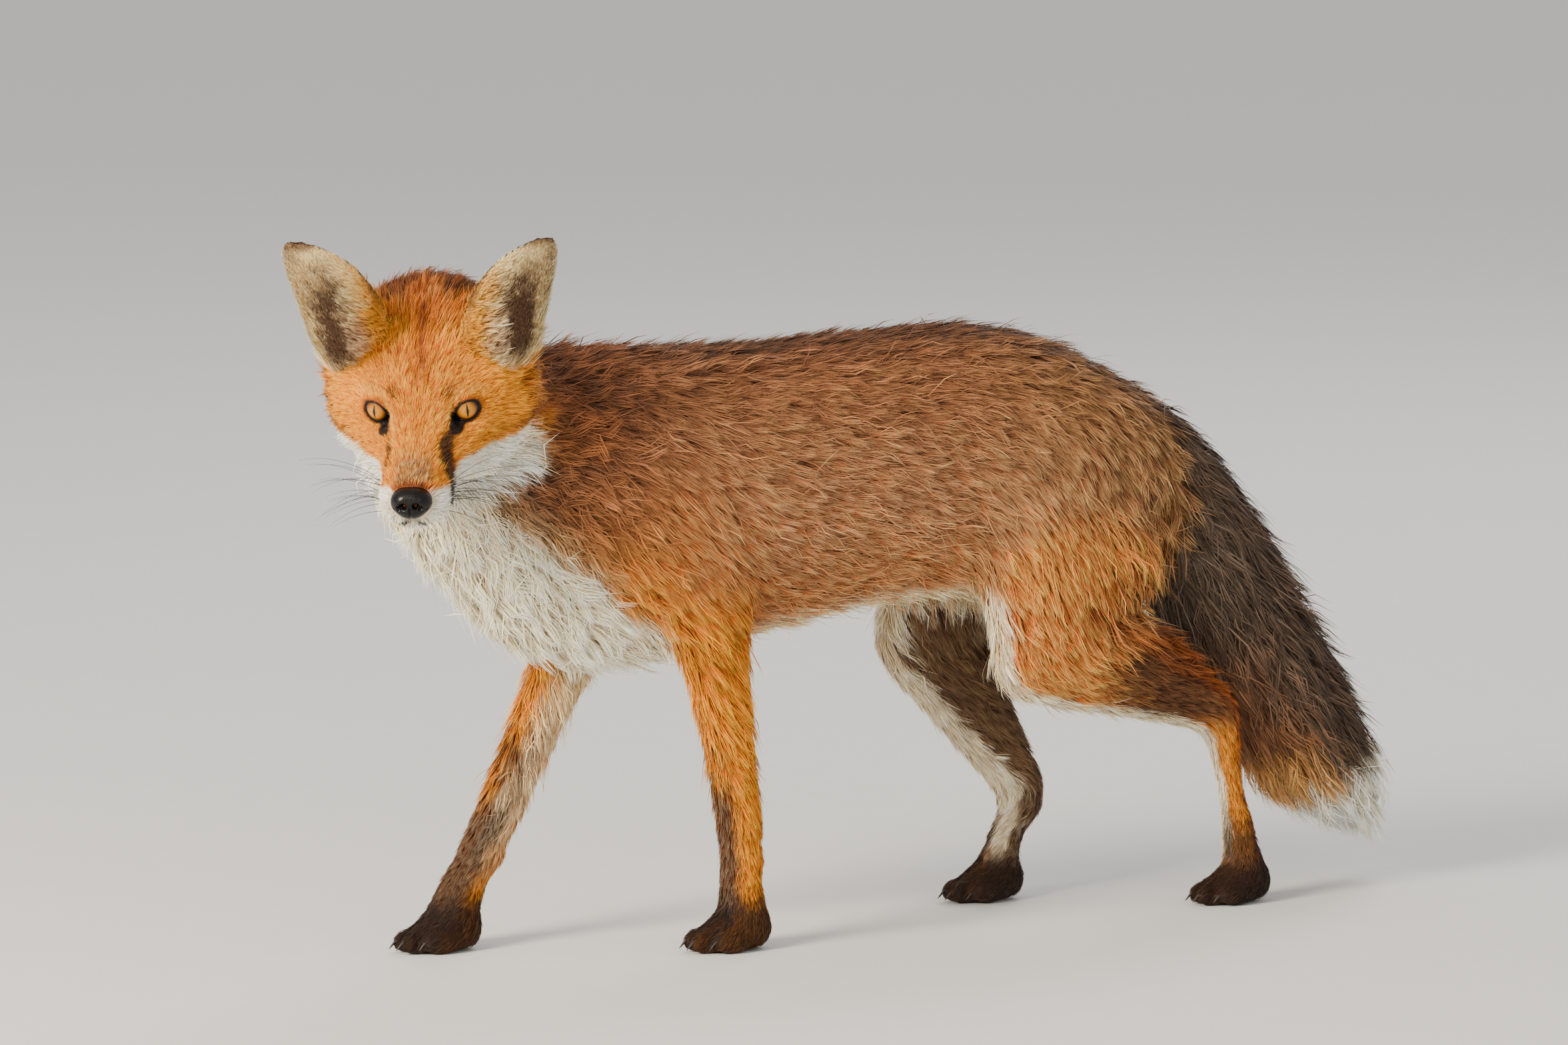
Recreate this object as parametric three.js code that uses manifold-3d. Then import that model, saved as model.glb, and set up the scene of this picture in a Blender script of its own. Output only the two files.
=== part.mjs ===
// A red fox, life size, walking slowly with its head low and turned to its left. The model is still.
// Millimetres. The fox heads along -Y, its left side is +X, +Z is up, and its paws stand on z = 0.
// Every solid gives the outline of the coat, out to the tips of the hair.
import * as THREE from "three";
import { mergeVertices } from "three/addons/utils/BufferGeometryUtils.js";
import Module from "manifold-3d";

const wasm = await Module();
wasm.setup();

// Driving dimensions.
const WITHERS = 366; // top of the coat over the shoulders
const GAP = 0.35; // thin cut between two neighbouring sub-parts
const EAR_LENGTH = 91;
const EYE = {
  radius: 10.2,
  spacing: 48, // between the centres of the two eyeballs
  back: -6.2, // the eyeballs' centres, behind the point between the eyes
  opening: { forward: 4.5, spread: 6, turn: 20, depth: 13, width: 19, height: 16 },
};
const NOSE = { at: [64, 0, -25], size: [24.4, 19, 21] }; // at is in the head's frame
const HEAD = {
  at: new THREE.Vector3(62, -281, 341), // the point between the eyes
  turn: 54, // degrees to the fox's left
  dip: 24, // degrees, muzzle down
  roll: 1.5, // degrees, left ear up
};

// The trunk and neck in one run of upright sections, from the rump to the back of the head.
// top and low are heights, half is half the width, n is the roundness and turn is the section's yaw.
const TORSO = [
  { y: 268, x: 0, top: 284, low: 246, half: 18, n: 2.0, turn: 0 },
  { y: 256, x: 0, top: 307, low: 221, half: 38, n: 2.1, turn: 0 },
  { y: 230, x: 0, top: 330, low: 204, half: 51, n: 2.2, turn: 0 },
  { y: 188, x: 0, top: 352, low: 198, half: 58, n: 2.2, turn: 0 },
  { y: 130, x: 0, top: WITHERS + 1, low: 199, half: 58, n: 2.2, turn: 0 },
  { y: 60, x: 0, top: WITHERS, low: 198, half: 61, n: 2.2, turn: 0 },
  { y: -10, x: 0, top: WITHERS - 3, low: 189, half: 65, n: 2.2, turn: 0 },
  { y: -80, x: 0, top: WITHERS - 3, low: 177, half: 65, n: 2.2, turn: 0 },
  { y: -135, x: 0, top: WITHERS, low: 171, half: 61, n: 2.2, turn: 2 },
  { y: -178, x: 0, top: WITHERS + 1, low: 182, half: 57, n: 2.1, turn: 9 },
  { y: -210, x: 3, top: WITHERS + 5, low: 210, half: 54, n: 2.1, turn: 19 },
  { y: -238, x: 13, top: WITHERS + 15, low: 240, half: 50, n: 2.1, turn: 36 },
  { y: -258, x: 30, top: WITHERS + 16, low: 272, half: 40, n: 2.0, turn: 50 },
];
const NECK_CUT = { y: -158, z: 280, lean: 24 }; // plane that parts neck from trunk, leaning back at the top

// The head's sections in its own frame, from the nose back: f forward, top and low heights, half the
// width at its widest, which lies at height mid, and the roundness above and below that height.
const SKULL = [
  { f: 67, top: -17, low: -38, half: 12, mid: -28, above: 2.0, below: 2.2 },
  { f: 62, top: -14, low: -44, half: 17, mid: -30, above: 2.1, below: 2.3 },
  { f: 52, top: -10.5, low: -48.5, half: 21, mid: -32, above: 2.1, below: 2.4 },
  { f: 38, top: -7, low: -50, half: 22, mid: -32, above: 2.1, below: 2.4 },
  { f: 24, top: -1.5, low: -51, half: 24.5, mid: -30, above: 2.1, below: 2.3 },
  { f: 12, top: 7, low: -53, half: 32, mid: -28, above: 2.1, below: 2.2 },
  { f: 0, top: 18, low: -56, half: 44, mid: -26, above: 2.1, below: 2.1 },
  { f: -14, top: 29, low: -59, half: 56, mid: -23, above: 1.95, below: 2.0 },
  { f: -30, top: 39, low: -62, half: 65, mid: -18, above: 2.0, below: 1.9 },
  { f: -46, top: 47, low: -61, half: 66, mid: -12, above: 2.15, below: 1.9 },
  { f: -62, top: 52, low: -56, half: 61, mid: -6, above: 2.2, below: 2.0 },
  { f: -78, top: 50, low: -48, half: 49, mid: -2, above: 2.1, below: 2.0 },
  { f: -92, top: 40, low: -36, half: 35, mid: 0, above: 2.0, below: 2.0 },
];

// An ear's sections from root to tip: run along its length, its inner and outer edges either side of
// its long axis, the depth of its hollow and its thickness.
const EAR_ROWS = [
  { run: -0.16, inner: -19, outer: 27, cup: 20, thick: 8 },
  { run: 0.0, inner: -25, outer: 29, cup: 21, thick: 7 },
  { run: 0.14, inner: -30, outer: 28, cup: 20, thick: 6 },
  { run: 0.28, inner: -34, outer: 25.5, cup: 17, thick: 5.4 },
  { run: 0.43, inner: -36.5, outer: 22, cup: 14, thick: 5 },
  { run: 0.59, inner: -36, outer: 19, cup: 11, thick: 4.6 },
  { run: 0.73, inner: -32.5, outer: 16, cup: 8, thick: 4.2 },
  { run: 0.85, inner: -26, outer: 12.5, cup: 5, thick: 3.8 },
  { run: 0.94, inner: -17, outer: 8, cup: 2.5, thick: 3.4 },
  { run: 0.99, inner: -7, outer: 3, cup: 0.8, thick: 3 },
];
const EAR_EDGE = 2.6;
// Root and tip as f, l, u; turn is how far the ear's opening is turned from straight ahead, outwards.
const EARS = {
  left: { root: [-41, 40, 26], tip: [-19, 82, 107], turn: 32 },
  right: { root: [-41, 40, 26], tip: [-14, 69, 104], turn: 14 },
};

// The tail's centre line with its half depth and half width; its last stretch is the white tip.
const TAIL = [
  { y: 234, x: 0, z: 312, deep: 17, wide: 17 },
  { y: 254, x: 0, z: 289, deep: 28, wide: 26 },
  { y: 277, x: 1, z: 251, deep: 39, wide: 37 },
  { y: 300, x: 2, z: 206, deep: 47, wide: 44 },
  { y: 327, x: 2, z: 160, deep: 51, wide: 48 },
  { y: 356, x: 1, z: 115, deep: 48, wide: 46 },
  { y: 384, x: 0, z: 77, deep: 40, wide: 39 },
  { y: 405, x: 0, z: 44, deep: 28, wide: 27 },
  { y: 413, x: 0, z: 17, deep: 8, wide: 8 },
];
const TAIL_TIP_FROM = 0.8; // share of the tail's run where the white tip begins

// Joints of each leg. The last point is the centre of the foot over its pads.
const LEGS = {
  fore_left: [[30, -132, 312], [52, -82, 204], [44, -57, 78], [42, -54, 24]],
  fore_right: [[-30, -150, 310], [-51, -114, 196], [-45, -173, 82], [-43, -206, 24]],
  hind_left: [[30, 190, 278], [48, 150, 166], [44, 283, 120], [42, 304, 24]],
  hind_right: [[-30, 186, 278], [-48, 124, 168], [-44, 194, 66], [-42, 176, 22]],
};
// Half depth (front to back) and half width along a leg; at counts joints from the leg's top.
const FORE_GIRTH = [
  { at: 0, deep: 28, wide: 14 },
  { at: 0.35, deep: 46, wide: 28 },
  { at: 0.75, deep: 41, wide: 25 },
  { at: 1, deep: 30, wide: 19 },
  { at: 1.3, deep: 24, wide: 17.5 },
  { at: 1.65, deep: 19, wide: 16 },
  { at: 2, deep: 17, wide: 15.5 },
  { at: 2.5, deep: 14.5, wide: 15 },
  { at: 3, deep: 15, wide: 16 },
];
const HIND_GIRTH = [
  { at: 0, deep: 42, wide: 19 },
  { at: 0.3, deep: 59, wide: 32 },
  { at: 0.65, deep: 56, wide: 30 },
  { at: 1, deep: 37, wide: 22 },
  { at: 1.35, deep: 28, wide: 18.5 },
  { at: 1.7, deep: 22, wide: 14.5 },
  { at: 2, deep: 18, wide: 12 },
  { at: 2.3, deep: 12.5, wide: 11 },
  { at: 2.6, deep: 11.5, wide: 11.5 },
  { at: 3, deep: 13, wide: 13.5 },
];
// How much further each hind leg reaches behind its middle line than before it, at the same places.
const FULLER_BEHIND = {
  hind_left: [0, 6, 18, 27, 19, 8, 3, 0, 0, 0],
  hind_right: [0, 2, 6, 10, 9, 7, 6, 4, 0, 0],
};
const ANKLE_CUT = 22; // height at which a paw meets the leg
const KINDS = {
  fore: { girth: FORE_GIRTH, names: ["upper_arm", "forearm", "pastern"], paw: { length: 54, width: 38 } },
  hind: { girth: HIND_GIRTH, names: ["thigh", "shank", "metatarsus"], paw: { length: 52, width: 35 } },
};
// A paw's middle height and half height, and its toes' places as shares of its length and width.
const PAW = {
  middle: 13,
  height: 17,
  toeMiddle: 8.4,
  toeSize: [15.2, 25.2, 20.4],
  toes: [
    { ahead: 0.21, left: 0.31, scale: 0.92 },
    { ahead: 0.41, left: 0.12, scale: 1 },
    { ahead: 0.41, left: -0.12, scale: 1 },
    { ahead: 0.21, left: -0.31, scale: 0.92 },
  ],
};
const CLAW = { length: 13, radius: 2.3, drop: 5.6 };

const COLOURS = {
  rust: new THREE.Color(0.62, 0.27, 0.1),
  face: new THREE.Color(0.76, 0.34, 0.1),
  white: new THREE.Color(0.86, 0.81, 0.73),
  dark: new THREE.Color(0.12, 0.085, 0.07),
  brush: new THREE.Color(0.33, 0.19, 0.12),
  amber: new THREE.Color(0.6, 0.3, 0.05),
  nose: new THREE.Color(0.03, 0.025, 0.028),
};

const vec = (x, y, z) => new THREE.Vector3(x, y, z);
const radians = THREE.MathUtils.degToRad;
const UP = vec(0, 0, 1);
const LEVEL = new THREE.Quaternion();

// Rows of named numbers, filled in smoothly with steps rows to each span.
function smoothRows(rows, steps) {
  const keys = Object.keys(rows[0]);
  const values = rows.flatMap((row) => keys.map((key) => row[key]));
  const curve = new THREE.CubicInterpolant(rows.map((_, i) => i), values, keys.length);
  return Array.from({ length: (rows.length - 1) * steps + 1 }, (_, i) => {
    const found = curve.evaluate(i / steps);
    return Object.fromEntries(keys.map((key, k) => [key, found[k]]));
  });
}

// A ring of points about a centre. side and up span its plane, and above and below are how square
// its upper and lower halves are: 2 is an ellipse, and more is fuller at the corners.
function ring(centre, side, up, { half, rise, fall, above = 2, below = 2 }, count) {
  return Array.from({ length: count }, (_, i) => {
    const angle = (2 * Math.PI * i) / count;
    const c = Math.cos(angle);
    const s = Math.sin(angle);
    const n = s > 0 ? above : below;
    const radius = (Math.abs(c) ** n + Math.abs(s) ** n) ** (-1 / n);
    const height = s * radius * (s > 0 ? rise : fall);
    return centre.clone().addScaledVector(side, c * radius * half).addScaledVector(up, height);
  });
}

// A closed BufferGeometry as a manifold-3d solid that faces outwards.
function solid(geometry) {
  const bare = geometry.clone();
  bare.deleteAttribute("normal");
  bare.deleteAttribute("uv");
  const merged = mergeVertices(bare, 1e-3);
  const vertProperties = merged.attributes.position.array;
  const triVerts = new Uint32Array(merged.index.array);
  const made = new wasm.Manifold(new wasm.Mesh({ numProp: 3, vertProperties, triVerts }));
  if (made.volume() > 0) return made;
  triVerts.reverse();
  return new wasm.Manifold(new wasm.Mesh({ numProp: 3, vertProperties, triVerts }));
}

// The largest of a solid's separate pieces.
const largest = (made) => made.decompose().sort((a, b) => b.volume() - a.volume())[0];

// The closed solid through a run of rings, each end closed by a fan to the ring's middle.
function loft(rings) {
  const count = rings[0].length;
  const middle = (points) => points.reduce((sum, p) => sum.add(p), vec(0, 0, 0)).divideScalar(count);
  const points = [...rings.flat(), middle(rings[0]), middle(rings.at(-1))];
  const first = rings.length * count;
  const last = first + 1;
  const end = first - count;
  const index = [];
  for (let i = 0; i < count; i++) {
    const j = (i + 1) % count;
    index.push(first, j, i, last, end + i, end + j);
    for (let r = 0; r < end; r += count) {
      index.push(r + i, r + j, r + count + j, r + i, r + count + j, r + count + i);
    }
  }
  const geometry = new THREE.BufferGeometry().setFromPoints(points);
  geometry.setIndex(index);
  return solid(geometry);
}

// An ellipsoid of half sizes size, turned by a quaternion and moved to at.
function ellipsoid(at, size, turn, sides, bands) {
  const ball = new THREE.SphereGeometry(1, sides, bands);
  ball.applyMatrix4(new THREE.Matrix4().compose(at, turn, size));
  return solid(ball);
}

// Everything past a plane, as a large block that also takes a margin from the near side.
function beyond(point, normal, margin = GAP / 2) {
  const SIZE = 1400;
  const block = new THREE.BoxGeometry(SIZE, SIZE, SIZE).translate(0, 0, SIZE / 2 - margin);
  const turn = new THREE.Quaternion().setFromUnitVectors(UP, normal.clone().normalize());
  block.applyMatrix4(new THREE.Matrix4().compose(point, turn, vec(1, 1, 1)));
  return solid(block);
}

// The trunk and neck together.
function torso() {
  const SIDES = 16;
  return loft(
    smoothRows(TORSO, 2).map(({ y, x, top, low, half, n, turn }) => {
      const reach = (top - low) / 2;
      const side = vec(1, 0, 0).applyAxisAngle(UP, radians(turn));
      const size = { half, rise: reach, fall: reach, above: n, below: n };
      return ring(vec(x, y, low + reach), side, UP, size, SIDES);
    }),
  );
}

// The head's own frame: forward, left and up, about the point between the eyes.
const headTurn = new THREE.Quaternion().setFromEuler(
  new THREE.Euler(radians(HEAD.dip), radians(-HEAD.roll), radians(HEAD.turn), "ZXY"),
);
const headForward = vec(0, -1, 0).applyQuaternion(headTurn);
const headLeft = vec(1, 0, 0).applyQuaternion(headTurn);
const headUp = UP.clone().applyQuaternion(headTurn);
const inHead = (f, l, u) =>
  HEAD.at.clone().addScaledVector(headForward, f).addScaledVector(headLeft, l).addScaledVector(headUp, u);

function skull(grow = 0) {
  const SIDES = 20;
  return loft(
    smoothRows(SKULL, 2).map(({ f, top, low, half, mid, above, below }) => {
      const size = { half: half + grow, rise: top - mid + grow, fall: mid - low + grow, above, below };
      return ring(inHead(f, 0, mid), headLeft, headUp, size, SIDES);
    }),
  );
}

// One ear: crescent sections from its root, inside the head, to the rounded tip, hollow to the front.
function ear(side) {
  const ACROSS = 6;
  const { root, tip, turn } = EARS[side > 0 ? "left" : "right"];
  const up = vec(...tip).sub(vec(...root)).normalize();
  const outward = vec(0, 1, 0).addScaledVector(up, -up.y).normalize().applyAxisAngle(up, radians(turn));
  const backward = vec().crossVectors(outward, up).normalize();
  const shares = Array.from({ length: ACROSS + 1 }, (_, i) => -1 + (2 * i) / ACROSS);
  return loft(
    EAR_ROWS.map(({ run, inner, outer, cup, thick }) => {
      const middle = vec(...root).addScaledVector(up, run * EAR_LENGTH);
      const point = (share, face) => {
        const across = (outer + inner) / 2 + (share * (outer - inner)) / 2;
        const thickness = THREE.MathUtils.lerp(thick, EAR_EDGE, share ** 4);
        const depth = cup * (1 - share ** 2) + (face * thickness) / 2;
        const at = middle.clone().addScaledVector(outward, across).addScaledVector(backward, depth);
        return inHead(at.x, side * at.y, at.z);
      };
      const back = shares.map((share) => point(share, 1));
      const front = shares.map((share) => point(share, -1));
      return [...back, ...front.reverse()];
    }),
  );
}

const eyeball = (side, grow = 0) => {
  const size = vec(1, 1, 1).multiplyScalar(EYE.radius + grow);
  return ellipsoid(inHead(EYE.back, (side * EYE.spacing) / 2, 0), size, headTurn, 10, 8);
};

// The hollow between the lids, turned outwards with the eye.
const eyeOpening = (side) => {
  const { forward, spread, turn, depth, width, height } = EYE.opening;
  const outward = new THREE.Quaternion().setFromAxisAngle(headUp, radians(side * turn));
  const at = inHead(forward, (side * (EYE.spacing + spread)) / 2, 0);
  return ellipsoid(at, vec(width / 2, depth / 2, height / 2), outward.multiply(headTurn), 10, 6);
};

const nose = (grow = 0) =>
  ellipsoid(inHead(...NOSE.at), vec(...NOSE.size).multiplyScalar(0.5).addScalar(grow), headTurn, 10, 8);

// A stretch of the tail between two shares of its run.
function tail(from, to, grow = 0) {
  const STEPS = 15;
  const SIDES = 12;
  const rows = smoothRows(TAIL, 2);
  const line = new THREE.CatmullRomCurve3(rows.map((row) => vec(row.x, row.y, row.z)));
  const left = vec(1, 0, 0);
  const rings = [];
  for (let k = Math.round(from * STEPS); k <= Math.round(to * STEPS); k++) {
    const t = k / STEPS;
    const share = t * (rows.length - 1);
    const low = Math.min(Math.floor(share), rows.length - 2);
    const mix = (key) => THREE.MathUtils.lerp(rows[low][key], rows[low + 1][key], share - low);
    const along = line.getTangent(t);
    const up = vec().crossVectors(along, left).normalize();
    const deep = mix("deep") + grow;
    rings.push(ring(line.getPoint(t), left, up, { half: mix("wide") + grow, rise: deep, fall: deep }, SIDES));
  }
  const ahead = line.getTangent(Math.round(from * STEPS) / STEPS);
  const shift = from > 0 ? GAP : -grow;
  rings[0].forEach((point) => point.addScaledVector(ahead, shift));
  return loft(rings);
}

// A leg's girth with how much fuller it is behind.
function girthOf(leg) {
  const { girth } = KINDS[leg.split("_")[0]];
  return girth.map((row, k) => ({ ...row, back: FULLER_BEHIND[leg]?.[k] ?? 0 }));
}

// One length of a leg, from joint i to the next, domed past each joint and mitred to its neighbours.
function legLength(joints, girth, i, grow = 0) {
  const SIDES = 10;
  const DOME = [
    { past: 0.5, scale: 0.87 },
    { past: 0.85, scale: 0.52 },
  ];
  const points = joints.map((p) => vec(...p));
  const along = points.slice(1).map((p, k) => p.clone().sub(points[k]).normalize());
  const length = points[i].distanceTo(points[i + 1]);
  const sizes = new THREE.CubicInterpolant(
    girth.map((row) => row.at),
    girth.flatMap((row) => [row.deep + grow, row.wide + grow, row.back]),
    3,
  );
  const left = vec(1, 0, 0).addScaledVector(along[i], -along[i].x).normalize();
  const behind = vec().crossVectors(left, along[i]).normalize();
  const ringAt = (t, past, scale) => {
    const [deep, wide, back] = sizes.evaluate(i + t);
    const centre = points[i].clone().addScaledVector(along[i], t * length + past * deep);
    const size = { half: wide * scale, rise: (deep + back) * scale, fall: deep * scale };
    return ring(centre, left, behind, size, SIDES);
  };
  const isFoot = i === joints.length - 2;
  const start = DOME.map(({ past, scale }) => ringAt(0, -past, scale)).reverse();
  const middle = [0, 0.35, 0.7, 1].map((t) => ringAt(t, 0, 1));
  const end = isFoot ? [ringAt(1, 1, 1)] : DOME.map(({ past, scale }) => ringAt(1, past, scale));
  let made = loft([...start, ...middle, ...end]);
  for (const joint of [i, i + 1]) {
    if (joint === 0 || joint === joints.length - 1) continue;
    const mitre = along[joint - 1].clone().add(along[joint]);
    made = made.subtract(beyond(points[joint], joint === i ? mitre.negate() : mitre, GAP / 2 - grow));
  }
  return made;
}

// A claw that curves forward and down from its root.
function claw(root) {
  const { length, radius, drop } = CLAW;
  const line = new THREE.QuadraticBezierCurve3(
    root.clone().add(vec(0, length * 0.25, 1)),
    root.clone().add(vec(0, -length * 0.45, 1)),
    root.clone().add(vec(0, -length * 0.72, -drop)),
  );
  const left = vec(1, 0, 0);
  return loft(
    [0, 0.5, 1].map((t) => {
      const up = vec().crossVectors(line.getTangent(t), left);
      const reach = radius * (1 - 0.82 * t);
      return ring(line.getPoint(t), left, up, { half: reach * 0.8, rise: reach, fall: reach }, 4);
    }),
  );
}

// A paw under a leg's last joint, heading along -Y and flat underneath, with a claw fitted to each toe.
function paw(centre, { length, width }) {
  const at = (ahead, left, z) => vec(centre[0] + left * width, centre[1] - ahead * length, z);
  const bodyOf = (grow) => {
    const size = vec(width / 2, length * 0.43, PAW.height).addScalar(grow);
    let made = ellipsoid(at(0.04, 0, PAW.middle), size, LEVEL, 10, 5);
    for (const { ahead, left, scale } of PAW.toes) {
      const toeSize = vec(...PAW.toeSize).multiplyScalar(scale / 2).addScalar(grow);
      made = made.add(ellipsoid(at(ahead, left, PAW.toeMiddle), toeSize, LEVEL, 7, 5));
    }
    return made;
  };
  const grown = bodyOf(GAP);
  const claws = PAW.toes.map(({ ahead, left, scale }) => {
    const root = at(ahead, left, PAW.toeMiddle).add(vec(0, -9.5 * scale, 0));
    return largest(claw(root).subtract(grown));
  });
  const sole = beyond(vec(0, 0, 0), UP.clone().negate(), 0);
  return { body: bodyOf(0).subtract(sole), claws };
}

// Every node's solid, by name.
const nodes = new Map();

function addHead() {
  let head = skull().subtract(nose(GAP));
  const around = skull(GAP);
  nodes.set("nose", nose());
  for (const [name, side] of [["left", 1], ["right", -1]]) {
    head = head.subtract(eyeOpening(side)).subtract(eyeball(side, GAP));
    nodes.set(`eye_${name}`, eyeball(side));
    nodes.set(`ear_${name}`, largest(ear(side).subtract(around)));
  }
  nodes.set("head", largest(head));
}

function addLegs() {
  const ankle = vec(0, 0, ANKLE_CUT);
  for (const [leg, joints] of Object.entries(LEGS)) {
    const kind = KINDS[leg.split("_")[0]];
    const foot = paw(joints.at(-1), kind.paw);
    const lengths = kind.names.map((_, i) => legLength(joints, girthOf(leg), i));
    const lowest = lengths.length - 1;
    lengths[lowest] = lengths[lowest].subtract(beyond(ankle, UP.clone().negate()));
    lengths.forEach((made, i) => nodes.set(`${leg}_${kind.names[i]}`, made));
    nodes.set(`${leg}_paw`, foot.body.subtract(beyond(ankle, UP)));
    foot.claws.forEach((made, i) => nodes.set(`${leg}_claw_${i + 1}`, made));
  }
}

// The trunk and neck, cut clear of the limbs, tail and head and then parted from each other.
function addTorso() {
  let whole = torso().subtract(tail(0, TAIL_TIP_FROM, GAP));
  for (const [leg, joints] of Object.entries(LEGS)) {
    for (const i of [0, 1]) whole = whole.subtract(legLength(joints, girthOf(leg), i, GAP));
  }
  const ahead = vec(0, -1, 0).applyAxisAngle(vec(1, 0, 0), radians(-NECK_CUT.lean));
  const cut = vec(0, NECK_CUT.y, NECK_CUT.z);
  nodes.set("trunk", largest(whole.subtract(beyond(cut, ahead))));
  const front = whole.subtract(beyond(cut, ahead.clone().negate()));
  nodes.set("neck", largest(front.subtract(skull(GAP))));
}

function colourOf(name) {
  if (name.startsWith("eye")) return COLOURS.amber;
  if (name === "nose") return COLOURS.nose;
  if (name.includes("claw") || name.endsWith("paw") || name.startsWith("ear")) return COLOURS.dark;
  if (name === "tail_tip") return COLOURS.white;
  if (name === "tail") return COLOURS.brush;
  if (name === "head") return COLOURS.face;
  return COLOURS.rust;
}

function meshOf(name, made) {
  const { vertProperties, triVerts } = made.getMesh();
  const geometry = new THREE.BufferGeometry();
  geometry.setAttribute("position", new THREE.BufferAttribute(vertProperties, 3));
  geometry.setIndex(new THREE.BufferAttribute(triVerts, 1));
  geometry.computeVertexNormals();
  const isWet = name === "nose" || name.startsWith("eye");
  const roughness = isWet ? 0.15 : 0.85;
  const material = new THREE.MeshStandardMaterial({ color: colourOf(name), roughness, metalness: 0 });
  const mesh = new THREE.Mesh(geometry, material);
  mesh.name = name;
  return mesh;
}

addHead();
addLegs();
nodes.set("tail", tail(0, TAIL_TIP_FROM));
nodes.set("tail_tip", tail(TAIL_TIP_FROM, 1));
addTorso();

const fox = new THREE.Group();
for (const [name, made] of nodes) fox.add(meshOf(name, made));

// The middle of the fox's box goes over the origin.
const middle = new THREE.Box3().setFromObject(fox, true).getCenter(vec());
for (const mesh of fox.children) mesh.geometry.translate(-middle.x, -middle.y, 0);

export default fox;
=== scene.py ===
"""A life-size red fox in mid step: one skin over the CAD flesh, a coat of tufts, eyes, nose and whiskers."""

import math
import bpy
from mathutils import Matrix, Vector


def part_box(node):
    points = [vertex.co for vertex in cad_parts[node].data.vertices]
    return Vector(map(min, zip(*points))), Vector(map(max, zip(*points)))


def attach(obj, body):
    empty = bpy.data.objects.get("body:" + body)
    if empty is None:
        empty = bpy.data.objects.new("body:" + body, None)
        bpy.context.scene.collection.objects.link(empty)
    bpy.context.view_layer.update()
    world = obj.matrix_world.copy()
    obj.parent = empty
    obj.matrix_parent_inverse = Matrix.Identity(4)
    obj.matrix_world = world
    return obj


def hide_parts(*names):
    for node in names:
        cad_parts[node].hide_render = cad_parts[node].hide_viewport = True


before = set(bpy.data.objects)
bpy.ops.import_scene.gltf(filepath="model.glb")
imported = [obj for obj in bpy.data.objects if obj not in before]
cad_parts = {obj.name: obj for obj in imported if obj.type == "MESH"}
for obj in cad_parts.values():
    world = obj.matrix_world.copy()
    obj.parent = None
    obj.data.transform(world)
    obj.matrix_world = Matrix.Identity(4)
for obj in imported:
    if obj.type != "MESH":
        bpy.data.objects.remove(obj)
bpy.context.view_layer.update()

from types import SimpleNamespace

import bmesh
import bpy
import numpy as np
import openvdb as vdb
from mathutils import Vector, kdtree

MM = 0.001
SEED = 7

# ---------------------------------------------------------------- the frame's landmarks


def points_of(node):
    """Vertices of a CAD node, in the row frame."""
    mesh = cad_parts[node].data
    found = np.empty(len(mesh.vertices) * 3, np.float32)
    mesh.vertices.foreach_get("co", found)
    return found.reshape(-1, 3).astype(float)


def unit(v):
    v = np.asarray(v, float)
    return v / np.maximum(np.linalg.norm(v, axis=-1, keepdims=True), 1e-12)


def fade(low, high, x):
    """A soft step from 0 at low to 1 at high, whichever of the two is the larger."""
    t = np.clip((x - low) / (high - low), 0, 1)
    return t * t * (3 - 2 * t)


class Head:
    """The head's own frame: f forward, l left and u up, in millimetres from the point between the eyes."""

    EYE_BACK, NOSE_AHEAD, NOSE_DROP = 6.2, 64.0, 25.0  # as the CAD places eyes and nose

    def __init__(self):
        left_eye, right_eye, nose = (points_of(n).mean(0) for n in ("eye_left", "eye_right", "nose"))
        self.left = unit(left_eye - right_eye)
        middle = (left_eye + right_eye) / 2
        to_nose = nose - middle
        to_nose = unit(to_nose - (to_nose @ self.left) * self.left)
        above = np.cross(to_nose, self.left)
        dip = math.atan2(self.NOSE_DROP, self.NOSE_AHEAD + self.EYE_BACK)
        self.forward = math.cos(dip) * to_nose + math.sin(dip) * above
        self.up = math.cos(dip) * above - math.sin(dip) * to_nose
        self.origin = middle + self.forward * self.EYE_BACK * MM
        self.eye_spread = np.linalg.norm(left_eye - right_eye) / 2 / MM

    def out(self, f, l, u):
        """Row-frame point, in metres, of a place in the head's frame."""
        f, l, u = (np.asarray(x, float)[..., None] for x in (f, l, u))
        return self.origin + MM * (f * self.forward + l * self.left + u * self.up)

    def turn_out(self, v):
        v = np.asarray(v, float)
        return v[..., :1] * self.forward + v[..., 1:2] * self.left + v[..., 2:3] * self.up

    def into(self, p):
        """Place in the head's frame, in millimetres, of row-frame points."""
        d = (np.asarray(p, float) - self.origin) / MM
        return np.stack([d @ self.forward, d @ self.left, d @ self.up], -1)


def folded(h):
    """Places in the head's frame with its right half laid over the left."""
    return np.stack([h[:, 0], np.abs(h[:, 1]), h[:, 2]], 1)


head = Head()
LEG_NODES = {
    "fore": ("upper_arm", "forearm", "pastern", "paw"),
    "hind": ("thigh", "shank", "metatarsus", "paw"),
}
LEG_FLESH = {
    f"{end}_{side}": [f"{end}_{side}_{part}" for part in parts]
    for end, parts in LEG_NODES.items()
    for side in ("left", "right")
}
LEGS = list(LEG_FLESH)
FLESH = ["head", "ear_left", "ear_right", "neck", "trunk", "tail", "tail_tip", *sum(LEG_FLESH.values(), [])]


def on(owner, *nodes):
    """Which of the owners, given as places in FLESH, are among these nodes."""
    return np.isin(owner, [FLESH.index(node) for node in nodes])


# ---------------------------------------------------------------- lenses that give head and paws finer skin


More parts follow.
